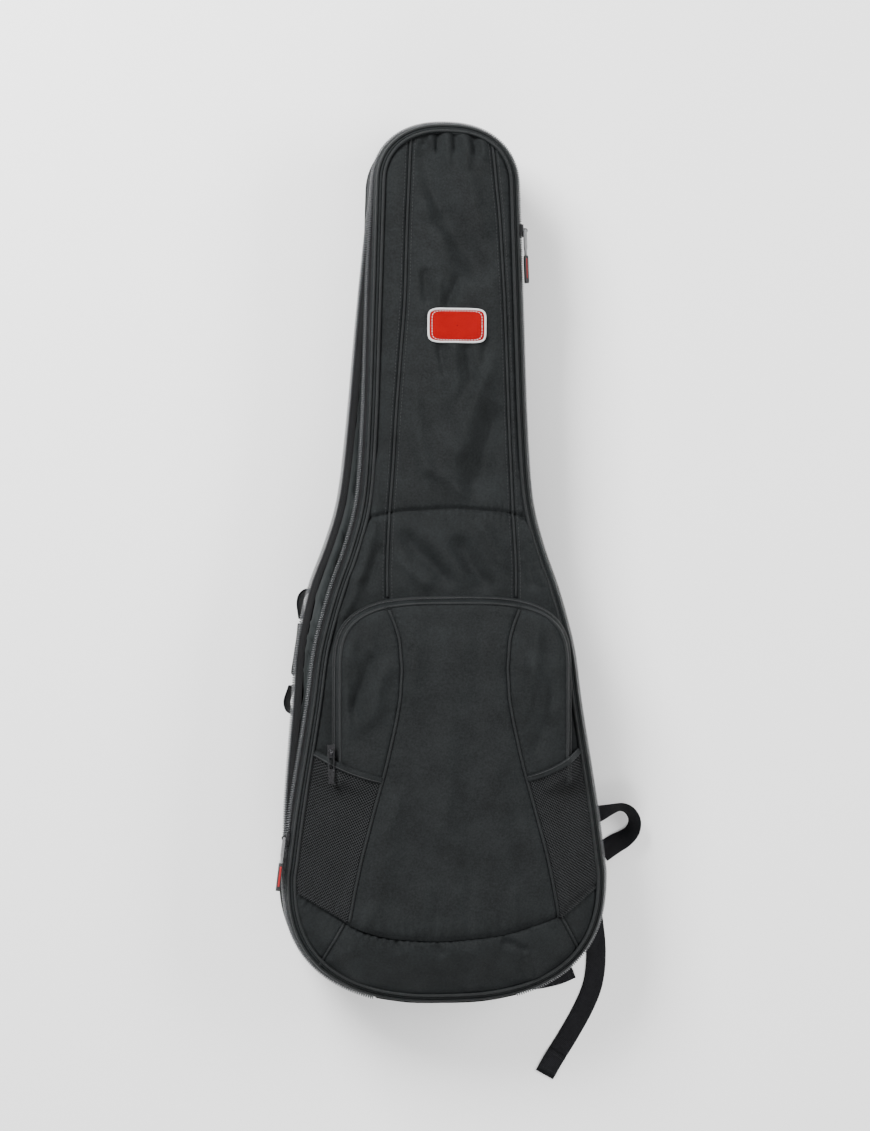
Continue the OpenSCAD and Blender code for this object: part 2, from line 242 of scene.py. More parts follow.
def swept(name, path, side, up, profile, material, closed=False):
    """A closed profile of (across, up) pairs carried along a path. side and up are unit vectors for
    each point. The profile may be one outline or one for each point."""
    path, side, up = (np.asarray(a, float) for a in (path, side, up))
    shape = np.asarray(profile, float)
    if shape.ndim == 2:
        shape = np.broadcast_to(shape, (len(path),) + shape.shape)
    ring = path[:, None] + side[:, None] * shape[..., :1] + up[:, None] * shape[..., 1:]
    rows, cols = ring.shape[:2]
    faces = grid_faces(rows, cols, wrap_rows=closed, wrap_cols=True).tolist()
    if not closed:
        faces += [list(range(cols))[::-1], [(rows - 1) * cols + k for k in range(cols)]]
    return mesh_piece(name, ring, faces, material)


def circle(r, sides=8):
    a = np.linspace(0, 2 * np.pi, sides, endpoint=False)
    return np.stack([r * np.cos(a), r * np.sin(a)], 1)


def tube(name, path, r, material, closed=False):
    """A round cord along a path that is nowhere upright."""
    t = tangents(path, closed)
    side = unit(np.stack([-t[:, 1], t[:, 0], np.zeros(len(t))], 1))
    up = np.cross(t, side)
    return swept(name, path, side, up, circle(r)[::-1], material, closed)


def ribbon(name, path, side, width, thick, material, keep_up=False):
    """Webbing: a flat strip with round edges, whose broad face holds the side vectors. Its upper
    face looks upwards, unless keep_up leaves it as the side vectors have it."""
    t = tangents(path)
    up = np.cross(t, side)
    up = up if keep_up else np.where(up[:, 2:] < -0.2, -up, up)
    w, h = width / 2, thick / 2
    outline = [(-w, 0), (-w + h, -h), (-w * 0.5, -h), (0, -h), (w * 0.5, -h), (w - h, -h), (w, 0),
               (w - h, h), (w * 0.5, h), (0, h), (-w * 0.5, h), (-w + h, h)]
    return swept(name, path, side, up, outline, material)


def join(name, pieces):
    """Several new pieces as one mesh, keeping their materials."""
    verts, faces, index, mats = [], [], [], []
    for p in pieces:
        start = len(verts)
        verts += [tuple(v.co) for v in p.data.vertices]
        for m in p.data.materials:
            if m not in mats:
                mats.append(m)
        for f in p.data.polygons:
            faces.append([start + k for k in f.vertices])
            index.append(mats.index(p.data.materials[f.material_index]))
        bpy.data.objects.remove(p)
    out = mesh_piece(name, verts, faces, mats[0])
    for m in mats[1:]:
        out.data.materials.append(m)
    out.data.polygons.foreach_set("material_index", index)
    return out


def copy_of(node, name, material, bevel=0.0, segments=3):
    """The node's own shape as a new piece, with its edges rounded."""
    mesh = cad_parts[node].data.copy()
    mesh.name = name
    mesh.materials.clear()
    mesh.materials.append(material)
    piece = bpy.data.objects.new(name, mesh)
    bpy.context.scene.collection.objects.link(piece)
    mesh.polygons.foreach_set("use_smooth", [True] * len(mesh.polygons))
    mesh.polygons.foreach_set("material_index", [0] * len(mesh.polygons))
    weld = piece.modifiers.new("weld", "WELD")
    weld.merge_threshold = 1e-5
    if bevel:
        mod = piece.modifiers.new("bevel", "BEVEL")
        mod.width, mod.segments, mod.limit_method = bevel, segments, "ANGLE"
        mod.angle_limit = math.radians(28)
        mod.harden_normals = False
    return piece


def dress(piece, body, slot_name, *nodes):
    """Rides on a body and stands for its nodes. slot_name is not used."""
    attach(piece, body)
    if nodes:
        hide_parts(*nodes)
    return piece


def stitches(name, lines, ups, material, pitch=4.2 * MM, length=2.9 * MM, r=0.38 * MM):
    """Thread that shows on the face: a short fat capsule for each stitch."""
    verts, faces = [], []
    ring = circle(r, 5)
    for line, up in zip(lines, ups):
        line = even(np.asarray(line, float), pitch)
        t = tangents(line)
        up = np.broadcast_to(np.asarray(up, float), line.shape)
        side = unit(np.cross(t, up))
        for c, d, s in zip(line, t, side):
            u = np.cross(s, d)
            start = len(verts)
            for along, size in ((-0.5, 0.25), (-0.32, 1), (0.32, 1), (0.5, 0.25)):
                verts += [c + d * along * length + s * a * size + u * (b * size) for a, b in ring]
            for first in range(start, start + 15, 5):
                for m in range(5):
                    n = (m + 1) % 5
                    faces.append([first + m, first + n, first + 5 + n, first + 5 + m])
            faces += [[start + m for m in range(4, -1, -1)], [start + 15 + m for m in range(5)]]
    return mesh_piece(name, verts, faces, material)


def coil(name, path, out, material, r=1.35 * MM, pitch=2.3 * MM, wire=0.42 * MM):
    """The zip's nylon coil: one wire wound along the tape's edge. out points away from the tape."""
    s = run(path)
    turns = int(s[-1] / pitch)
    per = 8
    t = np.linspace(0, s[-1], turns * per + 1)
    at = np.stack([np.interp(t, s, path[:, k]) for k in range(3)], 1)
    o = unit(np.stack([np.interp(t, s, out[:, k]) for k in range(3)], 1))
    d = tangents(at)
    up = np.cross(d, o)
    a = 2 * np.pi * np.arange(len(t)) / per
    line = at + o * (1.25 * r * np.cos(a))[:, None] + up * (0.8 * r * np.sin(a))[:, None]
    w = tangents(line)
    side = unit(np.cross(w, d))
    return swept(name, line, side, np.cross(side, w), circle(wire, 4), material)


def applied(piece):
    """The piece's mesh with its modifiers applied. The piece keeps no modifiers."""
    depsgraph = bpy.context.evaluated_depsgraph_get()
    mesh = bpy.data.meshes.new_from_object(piece.evaluated_get(depsgraph))
    piece.modifiers.clear()
    return mesh


def inflated(node, name, material, voxel=5 * MM, pressure=4.0, cap=4 * MM, frames=20):
    """A padded piece: the node's solid remeshed, blown up as cloth, and held near its first shape."""
    piece = copy_of(node, name, material)
    bpy.context.view_layer.objects.active = piece
    piece.data = applied(piece)
    mod = piece.modifiers.new("remesh", "REMESH")
    mod.mode, mod.voxel_size = "VOXEL", voxel
    piece.data = applied(piece)
    first = coords(piece.data)
    mod = piece.modifiers.new("cloth", "CLOTH")
    mod.settings.use_pressure = True
    mod.settings.uniform_pressure_force = pressure
    mod.settings.effector_weights.gravity = 0
    mod.settings.quality = 5
    mod.point_cache.frame_start, mod.point_cache.frame_end = 1, frames
    for f in range(1, frames + 1):
        bpy.context.scene.frame_set(f)
    last = coords(applied(piece))
    bpy.context.scene.frame_set(1)
    move = last - first if len(last) == len(first) else np.zeros_like(first)
    length = np.linalg.norm(move, axis=1, keepdims=True)
    move *= np.minimum(1, cap / np.maximum(length, 1e-9))
    first = first + move
    piece.data.vertices.foreach_set("co", first.ravel())
    piece.data.materials.clear()
    piece.data.materials.append(material)
    piece.data.polygons.foreach_set("use_smooth", [True] * len(piece.data.polygons))
    mod = piece.modifiers.new("subdivide", "SUBSURF")
    mod.levels = mod.render_levels = 1
    return piece


def keep_between(piece, lowest, highest):
    """Holds a swelled piece's points between two heights."""
    co = coords(piece.data)
    co[:, 2] = np.clip(co[:, 2], lowest, highest)
    piece.data.vertices.foreach_set("co", co.ravel())


def plain_copies(rows):
    """Sub-parts that keep their own shape: node, name, material, bevel in millimetres, body, slot."""
    for node, name, material, bevel, body, slot_name in rows:
        dress(copy_of(node, name, material, bevel * MM), body, slot_name, node)


# ---------------------------------------------------------------- materials
def new_material(name):
    material = bpy.data.materials.new(name)
    material.use_nodes = True
    nodes, links = material.node_tree.nodes, material.node_tree.links
    return material, nodes, links, nodes["Principled BSDF"]


def math_node(nodes, links, kind, a, b=None):
    node = nodes.new("ShaderNodeMath")
    node.operation = kind
    for k, value in enumerate((a, b)):
        if value is None:
            continue
        if isinstance(value, (int, float)):
            node.inputs[k].default_value = value
        else:
            links.new(value, node.inputs[k])
    return node.outputs[0]


def noise_node(nodes, links, where, scale, detail=3.0, rough=0.55):
    node = nodes.new("ShaderNodeTexNoise")
    node.inputs["Scale"].default_value = scale
    node.inputs["Detail"].default_value = detail
    node.inputs["Roughness"].default_value = rough
    links.new(where, node.inputs["Vector"])
    return node.outputs["Fac"]


def tint(nodes, links, shader, value, low_stop, high_stop, dark, light):
    """Colours the shader from dark to light as the value goes from one stop to the other."""
    ramp = nodes.new("ShaderNodeValToRGB")
    for element, stop, color in zip(ramp.color_ramp.elements, (low_stop, high_stop), (dark, light)):
        element.position, element.color = stop, (*color, 1)
    links.new(value, ramp.inputs[0])
    links.new(ramp.outputs[0], shader.inputs["Base Color"])


def gloss_range(nodes, links, shader, value, least, most):
    gloss = nodes.new("ShaderNodeMapRange")
    gloss.inputs["To Min"].default_value = least
    gloss.inputs["To Max"].default_value = most
    links.new(value, gloss.inputs["Value"])
    links.new(gloss.outputs[0], shader.inputs["Roughness"])


def bump_map(nodes, links, shader, height, strength, distance):
    bump = nodes.new("ShaderNodeBump")
    bump.inputs["Strength"].default_value = strength
    bump.inputs["Distance"].default_value = distance
    links.new(height, bump.inputs["Height"])
    links.new(bump.outputs[0], shader.inputs["Normal"])


def fabric(name, dark, light, pitch, rough=0.72, sheen=0.35, weave=0.5, specular=0.35, shape="plain",
           grain=0.3):
    """Woven cloth. The threads run on all sides of the piece, because each thread direction also
    takes a share of the height. dark and light are the low and high colours of the cloth, and grain
    is how much its fine fuzz shows."""
    material, nodes, links, shader = new_material(name)
    where = nodes.new("ShaderNodeTexCoord").outputs["Object"]
    split = nodes.new("ShaderNodeSeparateXYZ")
    links.new(where, split.inputs[0])
    x, y, z = split.outputs
    k = 2 * math.pi / pitch
    across = math_node(nodes, links, "MULTIPLY_ADD", z, 0.7)
    links.new(x, across.node.inputs[2])
    along = math_node(nodes, links, "MULTIPLY_ADD", z, 0.7)
    links.new(y, along.node.inputs[2])
    if shape == "rib":
        height = math_node(nodes, links, "SINE", math_node(nodes, links, "MULTIPLY",
                           math_node(nodes, links, "ADD", across, along), k))
    else:
        a = math_node(nodes, links, "SINE", math_node(nodes, links, "MULTIPLY", across, k))
        b = math_node(nodes, links, "SINE", math_node(nodes, links, "MULTIPLY", along, k))
        height = math_node(nodes, links, "MULTIPLY", a, b)
    fuzz = noise_node(nodes, links, where, 0.45 / pitch, 2.0)
    patch = noise_node(nodes, links, where, 30.0, 4.0, 0.6)
    speckle = math_node(nodes, links, "MULTIPLY_ADD", fuzz, grain)
    speckle.node.inputs[2].default_value = min(0, 0.5 * (0.3 - grain))
    mixed = math_node(nodes, links, "ADD", math_node(nodes, links, "MULTIPLY", height, 0.18 * weave), speckle)
    tone = math_node(nodes, links, "ADD", mixed, math_node(nodes, links, "MULTIPLY", patch, 0.7))
    tint(nodes, links, shader, tone, 0.22, 0.78, dark, light)
    gloss_range(nodes, links, shader, patch, rough - 0.08, rough + 0.1)
    bump_map(nodes, links, shader, math_node(nodes, links, "ADD", height, fuzz), weave, 0.35 * pitch)
    shader.inputs["Sheen Weight"].default_value = sheen
    shader.inputs["Sheen Roughness"].default_value = 0.45
    shader.inputs["Sheen Tint"].default_value = (0.5, 0.55, 0.6, 1)
    shader.inputs["Specular IOR Level"].default_value = specular
    return material


def hard(name, color, rough, metallic=0.0, scratch=0.25, scale=400.0, coat=0.0):
    """Metal, rubber or moulded plastic with fine wear."""
    material, nodes, links, shader = new_material(name)
    where = nodes.new("ShaderNodeTexCoord").outputs["Object"]
    wear = noise_node(nodes, links, where, scale, 5.0, 0.65)
    dark, light = [c * 0.75 for c in color], [min(1, c * 1.35 + 0.004) for c in color]
    tint(nodes, links, shader, wear, 0.3, 0.75, dark, light)
    gloss_range(nodes, links, shader, wear, max(0.05, rough - scratch / 2), rough + scratch / 2)
    bump_map(nodes, links, shader, wear, 0.15, 0.1 * MM)
    shader.inputs["Metallic"].default_value = metallic
    shader.inputs["Coat Weight"].default_value = coat
    return material


NYLON = fabric("nylon", (0.0044, 0.0051, 0.0053), (0.0138, 0.0158, 0.0164), 1.0 * MM, rough=0.58, sheen=0.015,
               specular=0.1, grain=0.8)
NYLON_SIDE = fabric("nylon_side", (0.0052, 0.006, 0.0063), (0.0115, 0.013, 0.0136), 1.3 * MM, sheen=0.015,
                    specular=0.1)
PIPING = fabric("piping", (0.0055, 0.0064, 0.0067), (0.0128, 0.0145, 0.015), 1.1 * MM, rough=0.48, sheen=0.02,
                specular=0.17)
LINING = fabric("lining", (0.09, 0.103, 0.104), (0.155, 0.174, 0.176), 0.6 * MM, rough=0.4, sheen=0.1,
                weave=0.15, specular=0.5, grain=0.1)
WEBBING = fabric("webbing", (0.0045, 0.0045, 0.0055), (0.013, 0.013, 0.016), 2.4 * MM, rough=0.6,
                 sheen=0.02, weave=0.9, shape="rib", specular=0.12)
TAPE = fabric("zip_tape", (0.004, 0.004, 0.0045), (0.011, 0.011, 0.012), 0.9 * MM, rough=0.7, sheen=0.04,
              weave=0.8, shape="rib")
AIR_MESH = fabric("air_mesh", (0.004, 0.0045, 0.005), (0.028, 0.030, 0.031), 3.2 * MM, rough=0.8,
                  sheen=0.08, weave=1.0)
NET = fabric("net", (0.009, 0.010, 0.0105), (0.023, 0.025, 0.026), 0.8 * MM, rough=0.6, sheen=0.1)
# Near-black sheet for under the stretch nets: painted shade standing in for the shadow beneath the net, where
# the pocket has only the lid's nylon
NET_PAINTED_SHADE = fabric("net_backing", (0.002, 0.002, 0.0022), (0.006, 0.006, 0.0065), 1.0 * MM, rough=0.8,
                  sheen=0.02, specular=0.1)
THREAD = fabric("thread", (0.006, 0.006, 0.0065), (0.02, 0.021, 0.022), 0.7 * MM, rough=0.5, sheen=0.1)
PATCH = fabric("patch_red", (0.27, 0.001, 0.002), (0.40, 0.003, 0.005), 0.9 * MM, rough=0.6, sheen=0.0,
               weave=0.8, shape="rib", specular=0.08)
PATCH_EDGE = fabric("patch_edge", (0.55, 0.55, 0.55), (0.8, 0.8, 0.8), 0.8 * MM, rough=0.6, weave=0.8)
# The main zip's coil colour is lifted from black to dark grey so its teeth show grey glints: partly painted
# highlight, partly the coat's real gloss
COIL = hard("coil_nylon_painted_glint", (0.075, 0.078, 0.082), 0.3, coat=0.3)
COIL_DARK = hard("coil_dark", (0.018, 0.019, 0.02), 0.38)
BLACK_METAL = hard("black_nickel", (0.05, 0.05, 0.053), 0.3, metallic=0.9)
STEEL = hard("steel", (0.42, 0.42, 0.43), 0.34, metallic=1.0, scale=700)
RUBBER = hard("rubber", (0.011, 0.011, 0.012), 0.62, scratch=0.2, scale=900)
RED_RUBBER = hard("red_rubber", (0.30, 0.003, 0.005), 0.5, scale=900)
BUCKLE = hard("buckle_plastic", (0.018, 0.018, 0.02), 0.38, scale=600)


# ---------------------------------------------------------------- the outline
def outline_of(node):
    """The node's outline, anticlockwise from its right, as a smooth closed line."""
    p = points_of(node)
    p = np.unique(np.round(p[:, :2], 5), axis=0)
    p = p[np.argsort(np.arctan2(p[:, 1], p[:, 0]))]
    return spline(p, closed=True)


RIM = outline_of("back_panel")
RIM_IN = left_of(RIM, True)


def inset(line, d):
    return line + left_of(line, True) * d


def chains(line):
    """A closed outline as its right and left sides, each with rising y."""
    right = line[line[:, 0] >= np.mean(line[:, 0])]
    left = line[line[:, 0] < np.mean(line[:, 0])]
    right, left = right[np.argsort(right[:, 1])], left[np.argsort(left[:, 1])]
    return right, left


def extents(line, y):
    right, left = chains(line)
    return np.interp(y, left[:, 1], left[:, 0]), np.interp(y, right[:, 1], right[:, 0])


def lean_of(y):
    """How far the open left wall's top edge stands out from its foot."""
    p = points_of("gusset_left")
    foot, top = p[p[:, 2] < Z_INSIDE + MM], p[p[:, 2] > Z_RIM - MM]
    line = []
    for group in (foot, top):
        ys = np.unique(np.round(group[:, 1], 4))
        line.append((ys, [group[np.abs(group[:, 1] - v) < 2e-4][:, 0].min() for v in ys]))
    return np.interp(y, *line[0]) - np.interp(y, *line[1])


def rim_lean():
    """The lean at each point of the rim, eased in and out where the left wall begins and ends."""
    y = RIM[:, 1]
    on_wall = (RIM[:, 0] < 0) & (y > low("gusset_left")[1]) & (y < high("gusset_left")[1])
    lean = np.where(on_wall, lean_of(y), 0)
    return np.convolve(np.concatenate([lean[-12:], lean, lean[:12]]), np.ones(25) / 25, "valid")


LEAN = rim_lean()


def face_grid(line, y0, y1, step, cols):
    """Points that fill a closed outline: rows a step apart, with columns that crowd towards its sides."""
    y = np.linspace(y0, y1, int((y1 - y0) / step))
    left, right = extents(line, y)
    x = (left + right)[:, None] / 2 + (right - left)[:, None] / 2 * crowded(cols, 1.25)[None]
    return x, np.broadcast_to(y[:, None], x.shape).copy()


# ---------------------------------------------------------------- camera, floor and light
CAMERA_FAR = 3.2
CAMERA_TILT = 8.0
SEEN_HEIGHT = 1.357
AIM_X, AIM_Y = -0.013, -0.003


def white_floor():
    mesh = bpy.data.meshes.new("floor")
    size = 12.0
    corners = [(-size, -size, 0), (size, -size, 0), (size, size, 0), (-size, size, 0)]
    mesh.from_pydata(corners, [], [(0, 1, 2, 3)])
    floor = bpy.data.objects.new("floor", mesh)
    bpy.context.scene.collection.objects.link(floor)
    material, _, _, shader = new_material("floor_white")
    shader.inputs["Base Color"].default_value = (0.93, 0.93, 0.93, 1)
    shader.inputs["Roughness"].default_value = 0.9
    shader.inputs["Specular IOR Level"].default_value = 0.1
    shader.inputs["Emission Color"].default_value = (1, 1, 1, 1)
    shader.inputs["Emission Strength"].default_value = 0.12
    mesh.materials.append(material)


def studio_light():
    scene = bpy.context.scene
    world = bpy.data.worlds.new("studio")
    scene.world = world
    world.use_nodes = True
    world.node_tree.nodes["Background"].inputs["Color"].default_value = (1, 1, 1, 1)
    world.node_tree.nodes["Background"].inputs["Strength"].default_value = 0.66

    def lamp(name, place, aim, size_x, size_y, power):
        light = bpy.data.lights.new(name, "AREA")
        light.shape, light.size, light.size_y, light.energy = "RECTANGLE", size_x, size_y, power
        thing = bpy.data.objects.new(name, light)
        scene.collection.objects.link(thing)
        point(thing, place, aim)

    lamp("key", (-1.5, 1.7, 1.7), (0, 0, 0.1), 1.0, 1.4, 190)
    lamp("rim", (2.1, 0.6, 1.5), (0, 0, 0.1), 0.8, 1.8, 60)
    lamp("low", (-0.3, -2.3, 1.6), (0, -0.1, 0.1), 1.6, 0.8, 40)


def tilted_camera():
    camera = bpy.data.objects.new("camera", bpy.data.cameras.new("camera"))
    bpy.context.scene.collection.objects.link(camera)
    aim = np.array([AIM_X, AIM_Y, Z_LID])
    tilt = math.radians(CAMERA_TILT)
    point(camera, aim + CAMERA_FAR * np.array([-math.sin(tilt), 0, math.cos(tilt)]), aim)
    camera.data.sensor_fit = "VERTICAL"
    camera.data.sensor_height = 36
    camera.data.lens = 36 / 2 / (SEEN_HEIGHT / 2 / CAMERA_FAR)
    camera.data.clip_end = 30
    bpy.context.scene.camera = camera


def point(thing, place, aim):
    """Places a lamp or camera so that it looks at aim with +Y upwards in its view."""
    place, aim = np.array(place, float), np.array(aim, float)
    back_way = (place - aim) / np.linalg.norm(place - aim)
    right = np.cross([0, 1, 0], back_way)
    right /= np.linalg.norm(right)
    up = np.cross(back_way, right)
    thing.matrix_world = Matrix([[right[0], up[0], back_way[0], place[0]],
                                 [right[1], up[1], back_way[1], place[1]],
                                 [right[2], up[2], back_way[2], place[2]], [0, 0, 0, 1]])


white_floor()
studio_light()
tilted_camera()


# ---------------------------------------------------------------- rear shell
def leaned(line, z):
    """The outline at a height: its open left side stands out further the higher it is."""
    share = np.clip((z - Z_INSIDE) / (Z_RIM - Z_INSIDE), 0, 1.05)
    return line - np.stack([LEAN * share, 0 * LEAN], 1)


def wall_rows(rows, wrinkle, crease=0):
    """Rings round the bag, one for each (inset, height, how far it may wrinkle). crease is the depth
    of the short slanting folds in a loose lining."""
    out = []
    for d, z, free in rows:
        p = leaned(RIM, z) + RIM_IN * d
        s = np.arange(len(RIM)) * OUTLINE_STEP
        wave = noise(s, np.full(len(s), z), 0.052) + 0.5 * noise(s + 3, np.full(len(s), z * 1.5), 0.019)
        sharp = np.exp(-(noise(s + 1.3 * z, np.full(len(s), 0.5 * z), 0.020) / 0.16) ** 2)
        sharp = sharp * (noise(s, s * 0 + 7, 0.06) > -0.5)
        p = p + RIM_IN * ((wave * wrinkle - sharp * crease) * free)[:, None]
        out.append(at_height(p, z))
    return np.array(out)


def ring_sheet(name, rows, material):
    grid = np.swapaxes(rows, 0, 1)
    n, m = grid.shape[:2]
    return mesh_piece(name, grid, grid_faces(n, m, wrap_rows=True), material)


def side_wall():
    outer = [(10, Z_BACK + 0.9 * MM, 0), (5, Z_BACK + 0.2 * MM, 0), (2, Z_BACK + 1.2 * MM, 0.1),
             (0.5, Z_BACK + 3.6 * MM, 0.3)]
    tape = 7.5 * MM
    outer += [(0.3 - 1.6 * math.sin(math.pi * t), Z_BACK + 6 * MM + t * (Z_RIM - tape - Z_BACK - 6 * MM),
               math.sin(math.pi * min(1, t * 0.9 + 0.05)) ** 0.5) for t in np.linspace(0, 1, 22)]
    rows = wall_rows([(d * MM, z, f) for d, z, f in outer], 1.5 * MM)
    side = ring_sheet("side_wall", rows, NYLON_SIDE)
    dress(side, "rear_shell", "shell_nylon", "gusset_left", "gusset_right", "gusset_head", "gusset_tail")


def rim_tape():
    """The tape that folds over the top of the wall."""
    over = [(0.3, -7.5), (-0.1, -5), (0.1, -2), (0.5, -0.3), (1.5, 0.7), (3.0, 0.9), (5.0, 0.4), (6.1, -1.4),
            (6.6, -4), (6.9, -8.5)]
    rows = wall_rows([(d * MM, Z_RIM + h * MM, 0.12 if h < 0 else 0) for d, h in over], 1.5 * MM)
    dress(ring_sheet("rim_tape", rows, TAPE), "rear_shell", "zip_tape")


def wall_lining():
    """Loose lining down the inside of the wall, fuller where the wall leans out."""
    deep = Z_RIM - Z_INSIDE - 11 * MM
    inner = [(6.4 + 8.5 * math.sin(math.pi * t ** 0.55) ** 0.8, Z_RIM - 7 * MM - t * deep,
              math.sin(math.pi * min(1, t + 0.08)) ** 0.5) for t in np.linspace(0, 1, 30) ** 1.6]
    inner += [(9, Z_INSIDE + 2.4 * MM, 0), (12, Z_INSIDE + 1.6 * MM, 0)]
    rows = wall_rows([(d * MM, z, f) for d, z, f in inner], 3.4 * MM, 3.2 * MM)
    fuller = np.interp(rows[:, 0, 2], mm([24, 50, 70, 80, 82]), [0, 0.5, 1, 0.5, 0]) * 7 * MM
    rows[..., :2] += RIM_IN * (fuller[:, None] * np.clip(LEAN / (20 * MM), 0, 1))[..., None]
    dress(ring_sheet("wall_lining", rows, LINING), "rear_shell", "lining")


def back_and_floor():
    x, y = face_grid(inset(RIM, 8 * MM), RIM[:, 1].min() + 8 * MM, RIM[:, 1].max() - 8 * MM, 4 * MM, 70)
    z = Z_BACK + 1.0 * MM + 0.5 * MM * noise(x, y, 0.06) + 0.2 * MM * noise(x, y, 0.015)
    back_cloth = sheet_piece("back_cloth", np.stack([x, y, z], -1), NYLON_SIDE, flip=True)
    dress(back_cloth, "rear_shell", "shell_nylon", "back_panel")
    x, y = face_grid(inset(RIM, 9 * MM), RIM[:, 1].min() + 9 * MM, RIM[:, 1].max() - 9 * MM, 3 * MM, 90)
    z = Z_INSIDE + 2.4 * MM + 1.3 * MM * noise(x, y * 0.6, 0.030) + 0.6 * MM * noise(x, y, 0.011)
    floor_lining = sheet_piece("floor_lining", np.stack([x, y, z], -1), LINING)
    dress(floor_lining, "rear_shell", "lining", "rear_lining")


def wall_piping():
    for name, d, z, r in (("back_piping", 0.4, Z_BACK + 2.6 * MM, 1.7),
                          ("rim_piping", -0.6, Z_RIM - 7 * MM, 1.4)):
        line = leaned(RIM, z) + RIM_IN * d * MM
        piece = tube(name, at_height(line, z), r * MM, PIPING, closed=True)
        dress(piece, "rear_shell", "shell_nylon")


HINGE_HALF = high("hinge_strip")[0] + 1 * MM
BIG_COIL = {"r": 1.9 * MM, "pitch": 2.8 * MM, "wire": 0.6 * MM}


def zip_stretch(line, z):
    """A line round the rim without its hinge at the tail, open and from right to left, and the way
    out of the bag at each of its points."""
    keep = ~((np.abs(RIM[:, 0]) < HINGE_HALF) & (RIM[:, 1] < 0))
    start = int(np.argmax(keep & ~np.roll(keep, 1)))
    order = np.roll(np.arange(len(RIM)), -start)
    order = order[keep[order]]
    return at_height(line[order], z), at_height(-RIM_IN[order], 0)


def zips():
    """The two halves of the main zip. The lid's half stands out where the bag is open."""
    path, out = zip_stretch(leaned(RIM, Z_RIM), Z_RIM + 0.9 * MM)
    tape = swept("rear_tape", path - out * 5.2 * MM, out, np.tile([0, 0, 1.0], (len(path), 1)),
                 mm([(-4, -0.4), (4.4, -0.4), (5.0, 0), (4.4, 0.5), (-4, 0.5)]), TAPE)
    dress(tape, "rear_shell", "zip_tape", "rear_zip_tape")
    c = coil("rear_coil", path + out * 0.9 * MM + [0, 0, 0.2 * MM], out, COIL, **BIG_COIL)
    dress(c, "rear_shell", "zip_tape")
    flared = RIM - RIM_IN * np.clip(0.3 * LEAN, 0, 3 * MM)[:, None]
    path, out = zip_stretch(flared, Z_LID - 0.8 * MM)
    tape = swept("lid_tape", path - out * 6.2 * MM, out, np.tile([0, 0, 1.0], (len(path), 1)),
                 mm([(-5, -0.4), (5.4, -0.4), (6.0, 0), (5.4, 0.5), (-5, 0.5)]), TAPE)
    dress(tape, "lid", "zip_tape", "lid_zip_tape")
    c = coil("lid_coil", path + out * 1.9 * MM, out, COIL, **BIG_COIL)
    dress(c, "lid", "zip_tape")


def hinge():
    """The strip of cloth that the lid turns on."""
    lo, hi = low("hinge_strip"), high("hinge_strip")
    x = np.linspace(lo[0], hi[0], 60)
    tail = RIM[RIM[:, 1] < -400 * MM]
    tail = tail[np.argsort(tail[:, 0])]
    y_out = np.interp(x, tail[:, 0], tail[:, 1])
    heights = np.concatenate([np.linspace(lo[2], Z_RIM - 2 * MM, 8),
                              np.linspace(Z_RIM - 1 * MM, Z_LID + 1 * MM, 12),
                              np.linspace(Z_LID + 2 * MM, Z_LID + 9 * MM, 5)])
    rows = []
    for z in heights:
        bow = 0.7 * MM * math.exp(-((z - (Z_RIM + Z_LID) / 2) / (5 * MM)) ** 2)
        rows.append(np.column_stack([x, y_out - 0.9 * MM - bow + 0.3 * MM * noise(x, x * 0 + z, 0.02),
                                     np.full(len(x), z)]))
    grid = np.array(rows)
    front = grid.reshape(-1, 3)
    behind = front + [0, 1.1 * MM, 0]
    n, m = grid.shape[:2]
    faces = np.vstack([grid_faces(n, m), grid_faces(n, m, flip=True, start=n * m)])
    piece = mesh_piece("hinge_cloth", np.vstack([front, behind]), faces, NYLON_SIDE)
    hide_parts("hinge_strip")
    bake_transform(piece)


# ---------------------------------------------------------------- lid
SEAM_LEFT = spline(mm([(-44, 508), (-49, 409), (-52, 316), (-57, 248), (-62, 181), (-66, 114), (-70, 60),
                       (-73, 0), (-73, -41)]))
SEAM_RIGHT = spline(mm([(54, 505), (58, 460), (63, 409), (67, 342), (70, 281), (75, 148), (79, 60), (82, 0),
                        (82, -41)]))
SEAM_CROSS = spline(mm([(-99, 52), (-67, 60), (-28, 63), (5, 65), (39, 63), (72, 60), (105, 51)]))
SEAM_YOKE = spline(mm([(-190, -378), (-174, -391), (-151, -408), (-126, -423), (-106, -433), (-75, -442),
                       (-38, -446), (-5, -447), (35, -444.5), (68, -440), (94, -432.5), (119, -424.5),
                       (144, -412.5), (161, -401), (180, -388), (192, -378)]))
SEAM_FOOT_LEFT = spline(mm([(-126, -426), (-139, -450), (-153, -477)]))
SEAM_FOOT_RIGHT = spline(mm([(133, -420), (146, -442), (160, -465)]))
FACE_SEAMS = [SEAM_LEFT, SEAM_RIGHT, SEAM_FOOT_LEFT, SEAM_FOOT_RIGHT]


def yoke_y(x):
    return np.interp(x, SEAM_YOKE[:, 0], SEAM_YOKE[:, 1])


FACE_EDGE = inset(RIM, 11.4 * MM)

